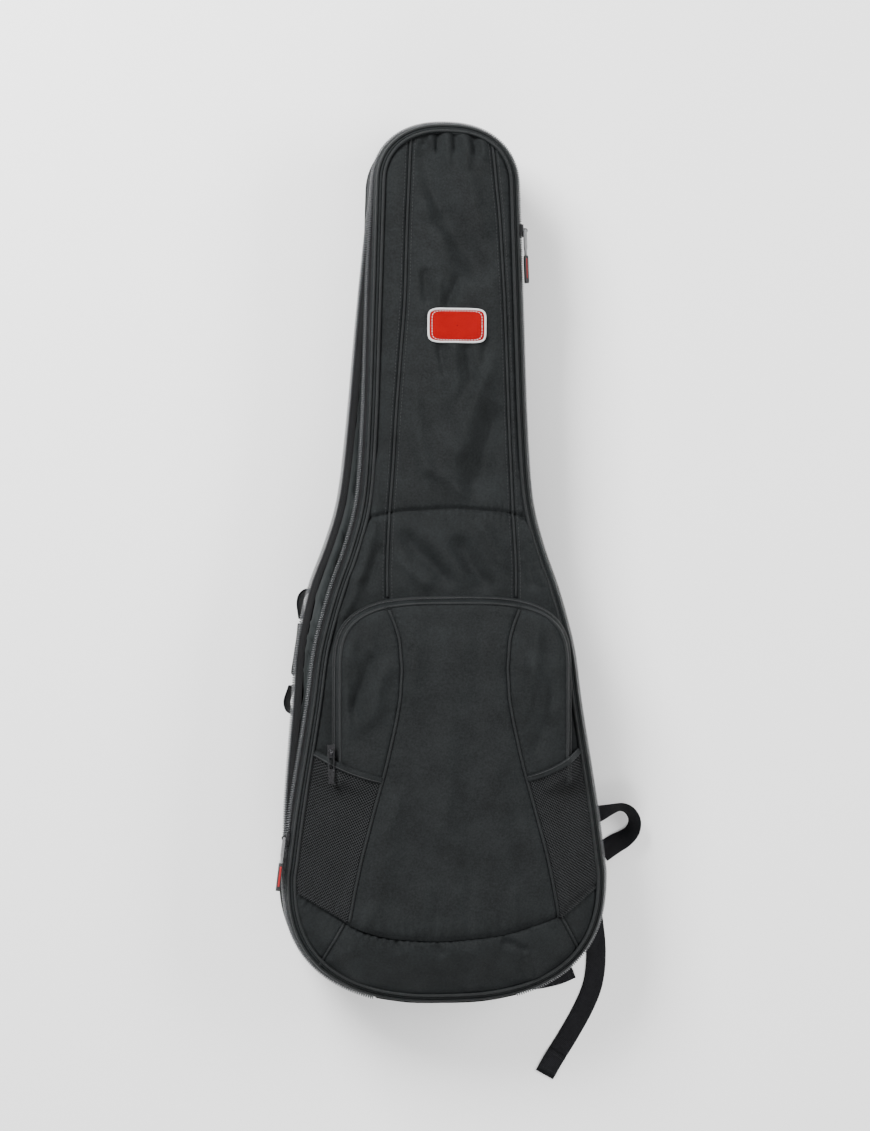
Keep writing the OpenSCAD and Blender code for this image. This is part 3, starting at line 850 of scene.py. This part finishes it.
FACE_FOLDS = [
    (-12, 520, -11, 488, 4, -2.6), (8, 520, 8, 490, 3.6, -2.2), (31, 520, 32, 486, 4, -2.6),
    (-28, 518, -27, 496, 4, -1.4),
    (-2, 520, -3, 470, 6, 1.5), (19, 520, 21, 466, 7, 1.5), (43, 516, 42, 480, 6, 1.2),
    (-36, 500, -2, 400, 17, -4.4), (-6, 415, 42, 338, 16, -4.2), (-30, 440, 4, 345, 13, 1.8),
    (12, 470, 48, 390, 13, 1.6),
    (-28, 350, -26, 306, 6, -2.0), (12, 344, -5, 304, 6.5, -2.2), (-10, 340, -14, 300, 6, 1.4),
    (-10, 264, -4, 222, 6, -2.0), (20, 264, 32, 210, 7, -2.2), (46, 270, 42, 230, 6, -1.4),
    (4, 262, 12, 200, 8, 1.8),
    (-14, 252, 10, 130, 12, 2.0), (46, 245, 6, 105, 13, 3.4), (58, 185, 36, 86, 15, -4.4),
    (-48, 215, -22, 100, 10, 2.0),
    (-8, 180, 38, 78, 9, -2.2), (-30, 120, 20, 76, 8, 1.6),
    (-56, 36, 2, -26, 9, -3.6), (8, 28, 48, -32, 11, -4.0), (-30, 40, 26, -24, 9, 1.6),
    (-62, 6, -22, -30, 8, 1.6),
    (34, 48, 74, -6, 9, 1.6),
    (-84, 130, -92, 30, 7, 1.4), (-88, 40, -112, -26, 8, 2.2), (-100, -10, -132, -70, 7, 1.8),
    (-80, 20, -98, -30, 7, -1.6),
    (92, 120, 100, 30, 6, 1.3), (94, 46, 122, -24, 8, 2.1), (110, -12, 142, -76, 7, 1.7),
    (88, 20, 104, -30, 7, -1.5),
    (-140, -440, -100, -500, 10, 1.8), (-60, -452, -30, -508, 11, 1.7), (20, -450, 30, -512, 12, 1.4),
    (60, -450, 94, -463, 6, -2.6), (80, -446, 112, -500, 10, 2.0), (-110, -455, -150, -470, 7, 1.4),
    (-172, -440, -182, -380, 6, 1.2), (-20, -452, -8, -466, 4, -1.5), (-66, -446, -60, -462, 4, -1.4),
]


def seam_press(x, y, line, deep=2.3, wide=3.0, pull=1.8, reach=14.0, pucker=0.35):
    """How a sewn line draws the padding down, with small puckers across it."""
    gap, along = nearest(x, y, line)
    gap = gap / MM
    wave = np.sin(2 * np.pi * along / (8.5 * MM) + 2.5 * noise(x, y, 0.03)) * (0.6 + 0.4 * noise(x, y, 0.05))
    return (-deep * np.exp(-(gap / wide) ** 2) - pull * np.exp(-gap / reach)
            + pucker * wave * np.exp(-np.abs(gap - 4) / 5)) * MM


def lid_height(x, y):
    """Height of the lid's cloth: crowned, drawn down at its seams, creased, and swelling up to the
    pocket's foot below the stretch pockets."""
    gap, along = nearest(x, y, np.vstack([FACE_EDGE[::3], FACE_EDGE[:1]]))
    g = gap / MM
    z = Z_FACE - 3.4 * MM + (4.2 * (1 - np.exp(-g / 6)) + 3.6 * smooth(g / 70)) * MM
    wave = np.sin(2 * np.pi * along / (11 * MM) + 3 * noise(x, y, 0.05)) * (0.5 + 0.5 * noise(x, y, 0.08))
    z += 0.45 * MM * wave * np.exp(-np.abs(g - 5) / 6)
    for line in FACE_SEAMS:
        z += seam_press(x, y, line)
    z += folds(x, y, FACE_FOLDS)
    z += (0.8 * noise(x, y, 0.075) + 0.35 * noise(x + y, y - x, 0.028)) * MM
    z += seam_press(x, y, SEAM_CROSS, 3.4, 2.4, 1.6, 10, 0.9)
    ramp = smooth((y - yoke_y(x) + 78 * MM) / (66 * MM)) * smooth((176 * MM - np.abs(x - FACE_X)) / (56 * MM))
    under = smooth((yoke_y(x) + 4 * MM - y) / (6 * MM))
    z += 16.5 * MM * ramp * under
    z += seam_press(x, y, SEAM_YOKE, 2.8, 3.0, 1.4, 9, 1.9) * smooth((yoke_y(x) + 9 * MM - y) / (6 * MM))
    return z


def on_lid(line, lift=0.0):
    """A flat line laid on the lid, or a little above it."""
    return at_height(line, lid_height(line[:, 0], line[:, 1]) + lift)


def lid_face():
    x, y = face_grid(FACE_EDGE, FACE_EDGE[:, 1].min(), FACE_EDGE[:, 1].max(), 2.1 * MM, 150)
    face = sheet_piece("lid_face", np.stack([x, y, lid_height(x, y)], -1), NYLON, thick=6 * MM)
    dress(face, "lid", "lid_nylon", "lid_panel", "tail_yoke")


def lid_band():
    """The lid's low side, from its zip up to its face."""
    shape = [(13, 0.4), (6, 0.1), (1.6, 0.1), (0.4, 1.0), (-0.3, 2.4), (-0.5, 4.4), (0.1, 7), (0.9, 9.4),
             (1.7, 10.9), (2.7, 11.6), (4.3, 12.6), (5.3, 14.9), (6.3, 16.6), (7.4, 17.0), (8.2, 16.0),
             (9.0, 15.2), (11, 15.2), (13, 15.4)]
    rows = []
    s = np.arange(len(RIM)) * OUTLINE_STEP
    for d, h in shape:
        free = math.exp(-((h - 8) / 4) ** 2)
        ripple = np.sin(2 * np.pi * s / (12 * MM) + 4 * noise(s, s * 0, 0.09))
        wave = noise(s, s * 0 + h * MM, 0.03) * 0.7 + 0.35 * ripple
        p = RIM + RIM_IN * ((d + 0.8 * wave * free) * MM)[:, None]
        rows.append(at_height(p, Z_LID + h * MM))
    band = ring_sheet("lid_band", np.array(rows), NYLON)
    dress(band, "lid", "lid_nylon")


def lid_cords():
    cord = tube("lid_cord", at_height(RIM + RIM_IN * 10.0 * MM, Z_FACE - 1.9 * MM), 2.0 * MM, PIPING, True)
    dress(cord, "lid", "piping", "lid_piping")
    cord = tube("band_cord", at_height(RIM + RIM_IN * 3.2 * MM, Z_LID + 13.4 * MM), 2.0 * MM, PIPING, True)
    dress(cord, "lid", "piping")

    cords = [tube("c", on_lid(even(line, 3 * MM), 1.5 * MM), 1.75 * MM, PIPING)
             for line in FACE_SEAMS]
    dress(join("neck_cords", cords), "lid", "piping", "neck_seams")


def face_stitches():
    lines = []
    for line in (SEAM_LEFT, SEAM_RIGHT):
        n = left_of(line)
        lines += [on_lid(line + n * side * 5.2 * MM, 0.1 * MM) for side in (1, -1)]
    dress(stitches("face_stitches", lines, [[0, 0, 1]] * len(lines), THREAD, r=0.3 * MM), "lid", "lid_nylon")


def lid_lining():
    x, y = face_grid(inset(RIM, 12 * MM), RIM[:, 1].min() + 12 * MM, RIM[:, 1].max() - 12 * MM, 4 * MM, 70)
    z = Z_LID - 0.9 * MM + (0.5 * noise(x, y * 0.6, 0.035) + 0.3 * noise(x, y, 0.013)) * MM
    inside = sheet_piece("lid_lining_cloth", np.stack([x, y, z], -1), LINING, flip=True)
    dress(inside, "lid", "lining", "lid_lining")


def badge():
    lo, hi = low("badge"), high("badge")
    c, half = (lo + hi) / 2, (hi - lo) / 2
    a = np.linspace(0, 2 * np.pi, 120, endpoint=False)
    power = 0.32
    edge = np.stack([np.sign(np.cos(a)) * np.abs(np.cos(a)) ** power * half[0],
                     np.sign(np.sin(a)) * np.abs(np.sin(a)) ** power * half[1]], 1)
    rings = []
    for share, h in ((0.02, 0.9), (0.3, 0.9), (0.6, 0.85), (0.85, 0.75), (0.93, 0.6), (0.96, -1.2)):
        rings.append(on_lid(edge * share + c[:2], (0.7 + h) * MM))
    field = mesh_piece("badge_field", np.array(rings), grid_faces(6, 120, wrap_cols=True, flip=True), PATCH)
    dress(field, "lid", "badge", "badge")
    line = on_lid(edge * 0.955 + c[:2], 1.1 * MM)
    rim = tube("badge_edge", even(np.vstack([line, line[:1]]), 1.5 * MM, True), 1.3 * MM, PATCH_EDGE, True)
    dress(rim, "lid", "badge")
    line = on_lid(even(np.vstack([edge, edge[:1]]) * 0.84 + c[:2], 2 * MM, True), 1.55 * MM)
    thread = stitches("badge_stitches", [line], [[0, 0, 1]], PATCH_EDGE, 3.4 * MM, 2.3 * MM, 0.4 * MM)
    dress(thread, "lid", "badge")


# ---------------------------------------------------------------- front pocket
def arch_line():
    p = points_of("pocket_flap_panel")
    middle = (ARCH_LOW[2] + ARCH_HIGH[2]) / 2
    p = p[np.abs(p[:, 2] - middle) < 0.4 * MM]
    p = np.unique(np.round(p[:, :2], 5), axis=0)
    top = p[p[:, 1] > FOLD_Y + 20 * MM]
    c = np.array([FACE_X, FOLD_Y])
    top = top[np.argsort(np.arctan2(top[:, 1] - c[1], top[:, 0] - c[0]))]
    side = [(FOLD_Y - 26 * MM), (FOLD_Y - 2 * MM)]
    return np.vstack([[[ARCH_HIGH[0], v] for v in side], top, [[ARCH_LOW[0], v] for v in side[::-1]]])


ARCH = spline(arch_line())
ARCH_OUT = -left_of(ARCH)
# half width of the hourglass seams, against the distance along the bag
HOURGLASS = mm([(-440, 128), (-424, 126), (-386, 119), (-348, 111), (-310, 101), (-271, 90.5), (-241, 82),
                (-188, 70), (-160, 65.5), (-126, 63.5), (-92, 66), (-67, 73), (-50, 81), (-30, 88)])


def hourglass(y):
    return np.interp(y, HOURGLASS[:, 0], HOURGLASS[:, 1])


PANEL_EDGE = ARCH - ARCH_OUT * 5.8 * MM
POCKET_FOLDS = [
    (-72, -118, -106, -200, 10, 2.6), (-92, -108, -118, -180, 8, -2.8), (-118, -70, -124, -215, 9, 1.8),
    (-98, -70, -84, -190, 8, 1.4), (-124, -120, -96, -230, 8, -1.4),
    (92, -112, 118, -190, 10, 2.3), (128, -80, 134, -215, 8, 1.6), (106, -66, 92, -180, 8, 1.5),
    (130, -130, 104, -228, 8, -1.3),
    (-40, -60, -46, -170, 12, 1.2), (36, -56, 30, -190, 14, -1.1), (0, -180, -14, -330, 16, 1.2),
    (50, -230, 66, -380, 14, 1.3), (-62, -270, -86, -400, 12, 1.3), (20, -330, 26, -436, 10, -1.1),
    (-30, -380, -36, -440, 9, 1.2), (70, -390, 84, -436, 9, 1.1), (-88, -400, -104, -438, 8, 1.2),
]


def pocket_height(x, y):
    """Height of the pocket's front: crowned, drawn down at the hourglass seams and at its foot."""
    side = np.abs(x - FACE_X)
    seam = hourglass(y)
    edge = np.vstack([PANEL_EDGE[::2], PANEL_EDGE[-1:]])
    gap, along = nearest(x, y, edge)
    g = gap / MM
    z = Z_FRONT - 4.6 * MM + (4.0 * (1 - np.exp(-g / 6)) + 3.2 * smooth(g / 80)) * MM
    wave = np.sin(2 * np.pi * along / (10 * MM) + 3 * noise(x, y, 0.04)) * (0.5 + 0.5 * noise(x, y, 0.07))
    z += 0.4 * MM * wave * np.exp(-np.abs(g - 5) / 6)
    # the front goes on into the stretch pockets, below the arch
    below = smooth((FOLD_Y - 16 * MM - y) / (24 * MM))
    z -= 17 * MM * below * smooth((side - seam - 1 * MM) / (15 * MM))
    gap = np.abs(side - seam) / MM
    pucker = np.sin(2 * np.pi * y / (9 * MM) + 2.5 * noise(x, y, 0.03)) * np.exp(-np.abs(gap - 4) / 5)
    z += (-2.2 * np.exp(-(gap / 3) ** 2) - 1.5 * np.exp(-gap / 13) + 0.3 * pucker) * MM
    z += folds(x, y, POCKET_FOLDS)
    z += (0.7 * noise(x, y + 1, 0.07) + 0.3 * noise(x + y, y - x, 0.026)) * MM
    foot = np.clip((y - yoke_y(x)) / MM, 0, None)
    wave = np.sin(2 * np.pi * x / (13 * MM) + 4 * noise(x, y * 0.3, 0.05))
    wave = wave * (0.5 + 0.5 * noise(x, y * 0 + 1, 0.06)) * np.exp(-np.abs(foot - 5) / 9)
    z += (-4.6 * np.exp(-foot / 4) - 1.2 * np.exp(-foot / 20) + 2.0 * wave) * MM
    return z


def on_pocket(line, lift):
    """A flat line laid a little above the pocket's front."""
    return at_height(line, pocket_height(line[:, 0], line[:, 1]) + lift)


def front_half(y):
    """Half the width of the pocket's front, which goes on under the stretch pockets."""
    right = PANEL_EDGE[PANEL_EDGE[:, 0] > FACE_X]
    right = right[np.argsort(right[:, 1])]
    wide = np.interp(y, right[:, 1], right[:, 0] - FACE_X)
    mix = smooth((FOLD_Y - 22 * MM - y) / (34 * MM))
    return wide * (1 - mix) + (hourglass(y) + 13 * MM) * mix


def pocket_front():
    foot = SEAM_YOKE[:, 1].min() - 1.6 * MM
    y = np.linspace(foot, PANEL_EDGE[:, 1].max() - 0.05 * MM, 210)
    half = front_half(y)
    x = FACE_X + half[:, None] * crowded(150, 1.2)[None]
    y = np.broadcast_to(y[:, None], x.shape)
    y = y + (yoke_y(x) - 1.6 * MM - foot) * (1 - smooth((y - foot) / (70 * MM)))
    front = sheet_piece("pocket_front", np.stack([x, y, pocket_height(x, y)], -1), NYLON, thick=3.5 * MM)
    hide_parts("pocket_lower_panel", "pocket_flap_panel")
    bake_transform(front)


def pocket_cords():
    cords = []
    for side in (-1, 1):
        y = np.linspace(-423 * MM, -47 * MM, 130)
        line = np.column_stack([FACE_X + side * hourglass(y), y])
        line = spline(line[::6], 3 * MM)
        cords.append(tube("c", on_pocket(line, 1.5 * MM), 1.75 * MM, PIPING))
    cords = join("hourglass_cords", cords)
    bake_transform(cords)

    cord = tube("flap_cord", on_pocket(PANEL_EDGE, 0.3 * MM), 2.0 * MM, PIPING)
    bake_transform(cord)
    cord = tube("arch_cord", on_lid(ARCH + ARCH_OUT * 0.6 * MM, 1.4 * MM), 2.0 * MM, PIPING)
    dress(cord, "lid", "piping")


def pocket_wall():
    """The pocket's side with its zip, from the lid up to the arch."""
    n = len(ARCH)
    foot = lid_height(ARCH[:, 0], ARCH[:, 1]) - 1 * MM
    top = Z_FRONT - 6.2 * MM
    outer = []
    for t in np.linspace(0, 1, 9):
        bulge = (0.4 - 4.6 * t ** 1.5 + 1.0 * math.sin(math.pi * t)) * MM
        p = ARCH + ARCH_OUT * bulge
        wave = 0.5 * MM * noise(np.arange(n) * 0.1, np.full(n, t * 3), 1.6) * math.sin(math.pi * t)
        p = p + ARCH_OUT * wave[:, None]
        outer.append(at_height(p, foot + (top - foot) * t))
    outer = np.array(outer)
    outwards = at_height(ARCH_OUT, 0)
    both = np.concatenate([outer, (outer - outwards * 1.2 * MM)[::-1]])
    grid = np.swapaxes(both, 0, 1)
    wall = mesh_piece("pocket_wall", grid, grid_faces(n, grid.shape[1], wrap_cols=True, flip=True), NYLON)
    dress(wall, "lid", "lid_nylon", "pocket_gusset")
    c = coil("pocket_coil", outer[5] + outwards * 0.9 * MM, np.tile([0, 0, 1.0], (n, 1)), COIL_DARK,
             r=1.1 * MM, pitch=2.0 * MM, wire=0.36 * MM)
    dress(c, "lid", "zip_tape", "pocket_zip_tape")


# ---------------------------------------------------------------- stretch pockets
def hull_over(u, z):
    """The tightest line over a row of heights: stretched cloth across what lies under it."""
    keep = [0]
    for k in range(1, len(u)):
        while len(keep) > 1:
            a, b = keep[-2], keep[-1]
            if (z[b] - z[a]) * (u[k] - u[a]) <= (z[k] - z[a]) * (u[b] - u[a]):
                keep.pop()
            else:
                break
        keep.append(k)
    return np.interp(u, u[keep], z[keep])


def net_grid(side, across, down):
    """Points of a stretch pocket: rows from the bag's edge to the hourglass seam, columns downwards,
    and the heights of what lies under them."""
    u, v = np.meshgrid(np.linspace(0, 1, across + 1), np.linspace(0, 1, down + 1), indexing="ij")
    out_y = (-223 - 168 * v) * MM
    left, right = extents(FACE_EDGE, out_y)
    out_x = left if side < 0 else right
    in_y = (-255 - 170 * v) * MM
    in_x = FACE_X + side * (hourglass(in_y) + 1.5 * MM)
    x = out_x + (in_x - out_x) * u
    y = out_y + (in_y - out_y) * u - 4 * MM * np.sin(np.pi * u) * (1 - v) ** 3
    under = lid_height(x, y) + 0.8 * MM
    inside = smooth((front_half(y) + 6 * MM - np.abs(x - FACE_X)) / (6 * MM))
    under = np.maximum(under, under + (pocket_height(x, y) + 0.8 * MM - under) * inside)
    gap = nearest(x, y, PANEL_EDGE[::2])[0] / MM
    under = under + 2.6 * MM * np.exp(-(gap / 3.5) ** 2)
    z = np.array([hull_over(u[:, k], under[:, k]) for k in range(down + 1)]).T
    for _ in range(6):
        z[:, 1:-1] = np.maximum(under[:, 1:-1], (z[:, :-2] + z[:, 2:]) / 2)
    z = z + 0.6 * MM * (1 + noise(x, y * 0.4, 0.022)) * np.sin(np.pi * u)
    return np.stack([x, y, z], -1), np.stack([x, y, under - 0.3 * MM], -1)


def net(side, name, node, hem_name, hem_node):
    across, down = 40, 92
    top, under = net_grid(side, across, down)
    top[..., 2] += 0.5 * MM
    index = -np.ones((across + 1, down + 1), int)
    even_ones = np.add.outer(np.arange(across + 1), np.arange(down + 1)) % 2 == 0
    index[even_ones] = np.arange(even_ones.sum())
    faces = []
    for a in range(1, across):
        for b in range(1, down):
            if (a + b) % 2:
                quad = [index[a - 1, b], index[a, b + 1], index[a + 1, b], index[a, b - 1]]
                faces.append(quad if side < 0 else quad[::-1])
    piece = mesh_piece(name, top[even_ones], faces, NET)
    mod = piece.modifiers.new("strands", "WIREFRAME")
    mod.thickness = 0.9 * MM
    mod.use_even_offset = False
    dress(piece, "lid", "net", node)
    # A near-black sheet just above the lid under the net: painted shade for the shadow beneath the stretched
    # net
    painted_shade_sheet = sheet_piece(name + "_backing", under, NET_PAINTED_SHADE, flip=side < 0)
    dress(painted_shade_sheet, "lid", "lining")
    line = spline(top[::5, 0] + [0, 0, 0.8 * MM], 2 * MM)
    t = tangents(line)
    line = line + [0, -2.0 * MM, 0]
    across_way = unit(np.cross([0, 0, 1.0], t))
    hem = ribbon(hem_name, line, across_way, 8.0 * MM, 2.0 * MM, NYLON)
    dress(hem, "lid", "binding", hem_node)
    seam = tube("c", line + across_way * -2.2 * MM + [0, 0, 0.9 * MM], 0.45 * MM, THREAD)
    dress(join(name + "_seam", [seam]), "lid", "binding")


# ---------------------------------------------------------------- sliders, pulls and other small parts
def zip_hardware():
    for side, slider, pull, lean, wide in (("left", "slider_left", "pull_left", 7, 2.4),
                                           ("right", "slider_right", "pull_right", -2, 1.1)):
        grip = "pull_grip_" + side
        main = "main_slider_" + side
        plain_copies([(main, "zip_slider_" + side, BLACK_METAL, 0.45, slider, "slider_metal"),
                      ("pull_link_" + side, "zip_link_" + side, STEEL, 0.3, pull, "link_metal"),
                      (grip, "zip_grip_" + side, RUBBER, 0.7, pull, "grip_rubber")])
        p = points_of(grip)
        c = (p.min(0) + p.max(0)) / 2
        d = np.array([math.sin(math.radians(lean)), 1, 0])
        d /= np.linalg.norm(d)
        line = c + d * np.linspace(-11 * MM, 13 * MM, 12)[:, None] + [0, 0, p[:, 2].max() - c[2] + 0.1 * MM]
        flat = np.tile(np.cross([0, 0, 1.0], d), (12, 1))
        dress(ribbon("grip_stripe_" + side, line, flat, wide * MM, 0.7 * MM, RED_RUBBER), pull, "grip_rubber")
    plain_copies([("pocket_slider", "pocket_zip_slider", BLACK_METAL, 0.45, "slider_pocket", "slider_metal"),
                  ("pocket_pull", "pocket_zip_pull", BLACK_METAL, 0.3, "pull_pocket", "link_metal")])


def handle():
    plain_copies([("handle_patches", "handle_tabs", WEBBING, 0.7, "rear_shell", "webbing"),
                  ("handle_webbing", "handle_strap", WEBBING, 0.6, "carry_handle", "webbing")])
    grip = inflated("handle_grip", "handle_sleeve", NYLON_SIDE, voxel=2.6 * MM, pressure=3, cap=1.6 * MM,
                    frames=12)
    dress(grip, "carry_handle", "grip_rubber", "handle_grip")
    plain_copies([("loop_patch", "loop_tab", WEBBING, 0.6, "rear_shell", "webbing"),
                  ("hang_loop", "hang_tab", WEBBING, 0.5, "hang_loop", "webbing")])


def inside_parts():
    cradle = copy_of("neck_cradle", "cradle_foam", LINING, 4 * MM, segments=4)
    dress(cradle, "rear_shell", "lining", "neck_cradle")
    bolster = inflated("tail_bolster", "bolster_foam", LINING, voxel=5 * MM, pressure=3, cap=3 * MM,
                       frames=12)
    dress(bolster, "rear_shell", "lining", "tail_bolster")
    plain_copies([("neck_strap", "neck_band", WEBBING, 0.7, "neck_strap", "webbing")])


# ---------------------------------------------------------------- back pads and straps
WEB_WIDE, WEB_THICK = 25 * MM, 1.6 * MM
WEB_RIGHT = mm([(182, -317), (200, -312), (218, -306), (232, -303), (243, -308), (249, -320), (246, -333),
                (237, -342), (224, -350), (209, -361)])
WEB_LEFT = mm([(-148, -357), (-136, -360), (-122, -360), (-111, -353)])
TAIL_RIGHT = mm([(190, -366), (192, -396), (195, -424), (199, -448), (202, -478), (201, -506), (196, -530),
                 (184, -557), (166, -588), (148, -616), (137, -635)])
TAIL_LEFT = mm([(-102, -339), (-90, -372), (-50, -420), (10, -468), (75, -505), (118, -516), (150, -512),
                (172, -504)])


def laid_webbing(name, line, heights, node, body, fold_end, stand=((0, 0), (1, 0))):
    """A strip of webbing on the ground. heights and stand are pairs: the share of its length with
    the height of its lower edge in millimetres, or with how far it stands on edge in degrees."""
    line = spline(line, 4 * MM)
    t = np.linspace(0, 1, len(line))
    eased = lambda v: np.convolve(np.concatenate([[v[0]] * 4, v, [v[-1]] * 4]), np.ones(9) / 9, "valid")
    z = eased(np.interp(t, [h[0] for h in heights], [h[1] * MM for h in heights]))
    tip = np.radians(eased(np.interp(t, [h[0] for h in stand], [h[1] for h in stand])))
    z = z + WEB_WIDE / 2 * np.abs(np.sin(tip)) + WEB_THICK / 2 * np.cos(tip) + 0.1 * MM
    path = np.column_stack([line, z])
    n = left_of(line)
    twist = 0.05 * noise(t, t * 0 + len(line), 0.35) * np.cos(tip)
    side = np.column_stack([n * np.cos(tip)[:, None], np.sin(tip) + twist])
    strip = ribbon(name, path, side, WEB_WIDE, WEB_THICK, WEBBING, keep_up=True)
    dress(strip, body, "webbing", node)
    if fold_end:
        end = path[-9:-1] + [0, 0, WEB_THICK + 0.1 * MM]
        pieces = [ribbon("f", end, side[-9:-1], WEB_WIDE * 0.98, WEB_THICK, WEBBING)]
        bars = []
        for k in (-8, -3):
            c = path[k] + [0, 0, WEB_THICK * 1.5]
            across = np.array([n[k, 0], n[k, 1], 0]) * 10 * MM
            bars.append(np.array([c - across, c + across]))
        pieces.append(stitches("s", bars, [[0, 0, 1]] * 2, THREAD, 3.2 * MM, 2.2 * MM, 0.32 * MM))
        dress(join(name + "_end", pieces), body, "webbing")
    return strip


def straps():
    for side, body in (("left", "strap_left"), ("right", "strap_right")):
        node = "shoulder_pad_" + side
        pad = inflated(node, "strap_pad_" + side, AIR_MESH, voxel=4 * MM, pressure=3, cap=2.0 * MM, frames=12)
        keep_between(pad, 0.4 * MM, high(node)[2] + 0.6 * MM)
        dress(pad, body, "air_mesh", node)
        plain_copies([("ladder_lock_" + side, "strap_lock_" + side, BUCKLE, 0.8, body, "buckle")])
    laid_webbing("lower_web_right", WEB_RIGHT, [(0, 8.6), (0.16, 8.4), (0.34, 1.2), (0.42, 0), (1, 0)],
                 "strap_webbing_right", "strap_right", False,
                 [(0, 0), (0.12, 18), (0.35, 68), (0.62, 64), (0.85, 16), (1, 0)])
    laid_webbing("lower_web_left", WEB_LEFT, [(0, 8.0), (0.5, 4.5), (1, 2.3)],
                 "strap_webbing_left", "strap_left", False)
    laid_webbing("tail_right", TAIL_RIGHT, [(0, 0.6), (0.2, 0), (1, 0)],
                 "strap_tail_right", "strap_right", True)
    laid_webbing("tail_left", TAIL_LEFT, [(0, 0.3), (1, 0)], "strap_tail_left", "strap_left", True)


def back_parts():
    for node, name in (("back_pad_upper", "upper_pad"), ("back_pad_spine", "spine_pad"),
                       ("back_pad_lumbar", "lumbar_pad")):
        pad = inflated(node, name, AIR_MESH, voxel=4 * MM, pressure=4, cap=3 * MM, frames=14)
        keep_between(pad, 0.1 * MM, Z_BACK + 2 * MM)
        dress(pad, "rear_shell", "air_mesh", node)
    plain_copies([("strap_yoke", "yoke_patch", NYLON_SIDE, 0.6, "rear_shell", "shell_nylon"),
                  ("lower_anchor_left", "anchor_web_left", WEBBING, 0.5, "rear_shell", "webbing"),
                  ("lower_anchor_right", "anchor_web_right", WEBBING, 0.5, "rear_shell", "webbing")])


side_wall()
rim_tape()
wall_lining()
back_and_floor()
wall_piping()
zips()
hinge()
lid_face()
lid_band()
lid_cords()
face_stitches()
lid_lining()
badge()
pocket_front()
pocket_cords()
pocket_wall()
net(-1, "net_left", "mesh_pocket_left", "net_hem_left", "mesh_binding_left")
net(1, "net_right", "mesh_pocket_right", "net_hem_right", "mesh_binding_right")
zip_hardware()
handle()
inside_parts()
straps()
back_parts()
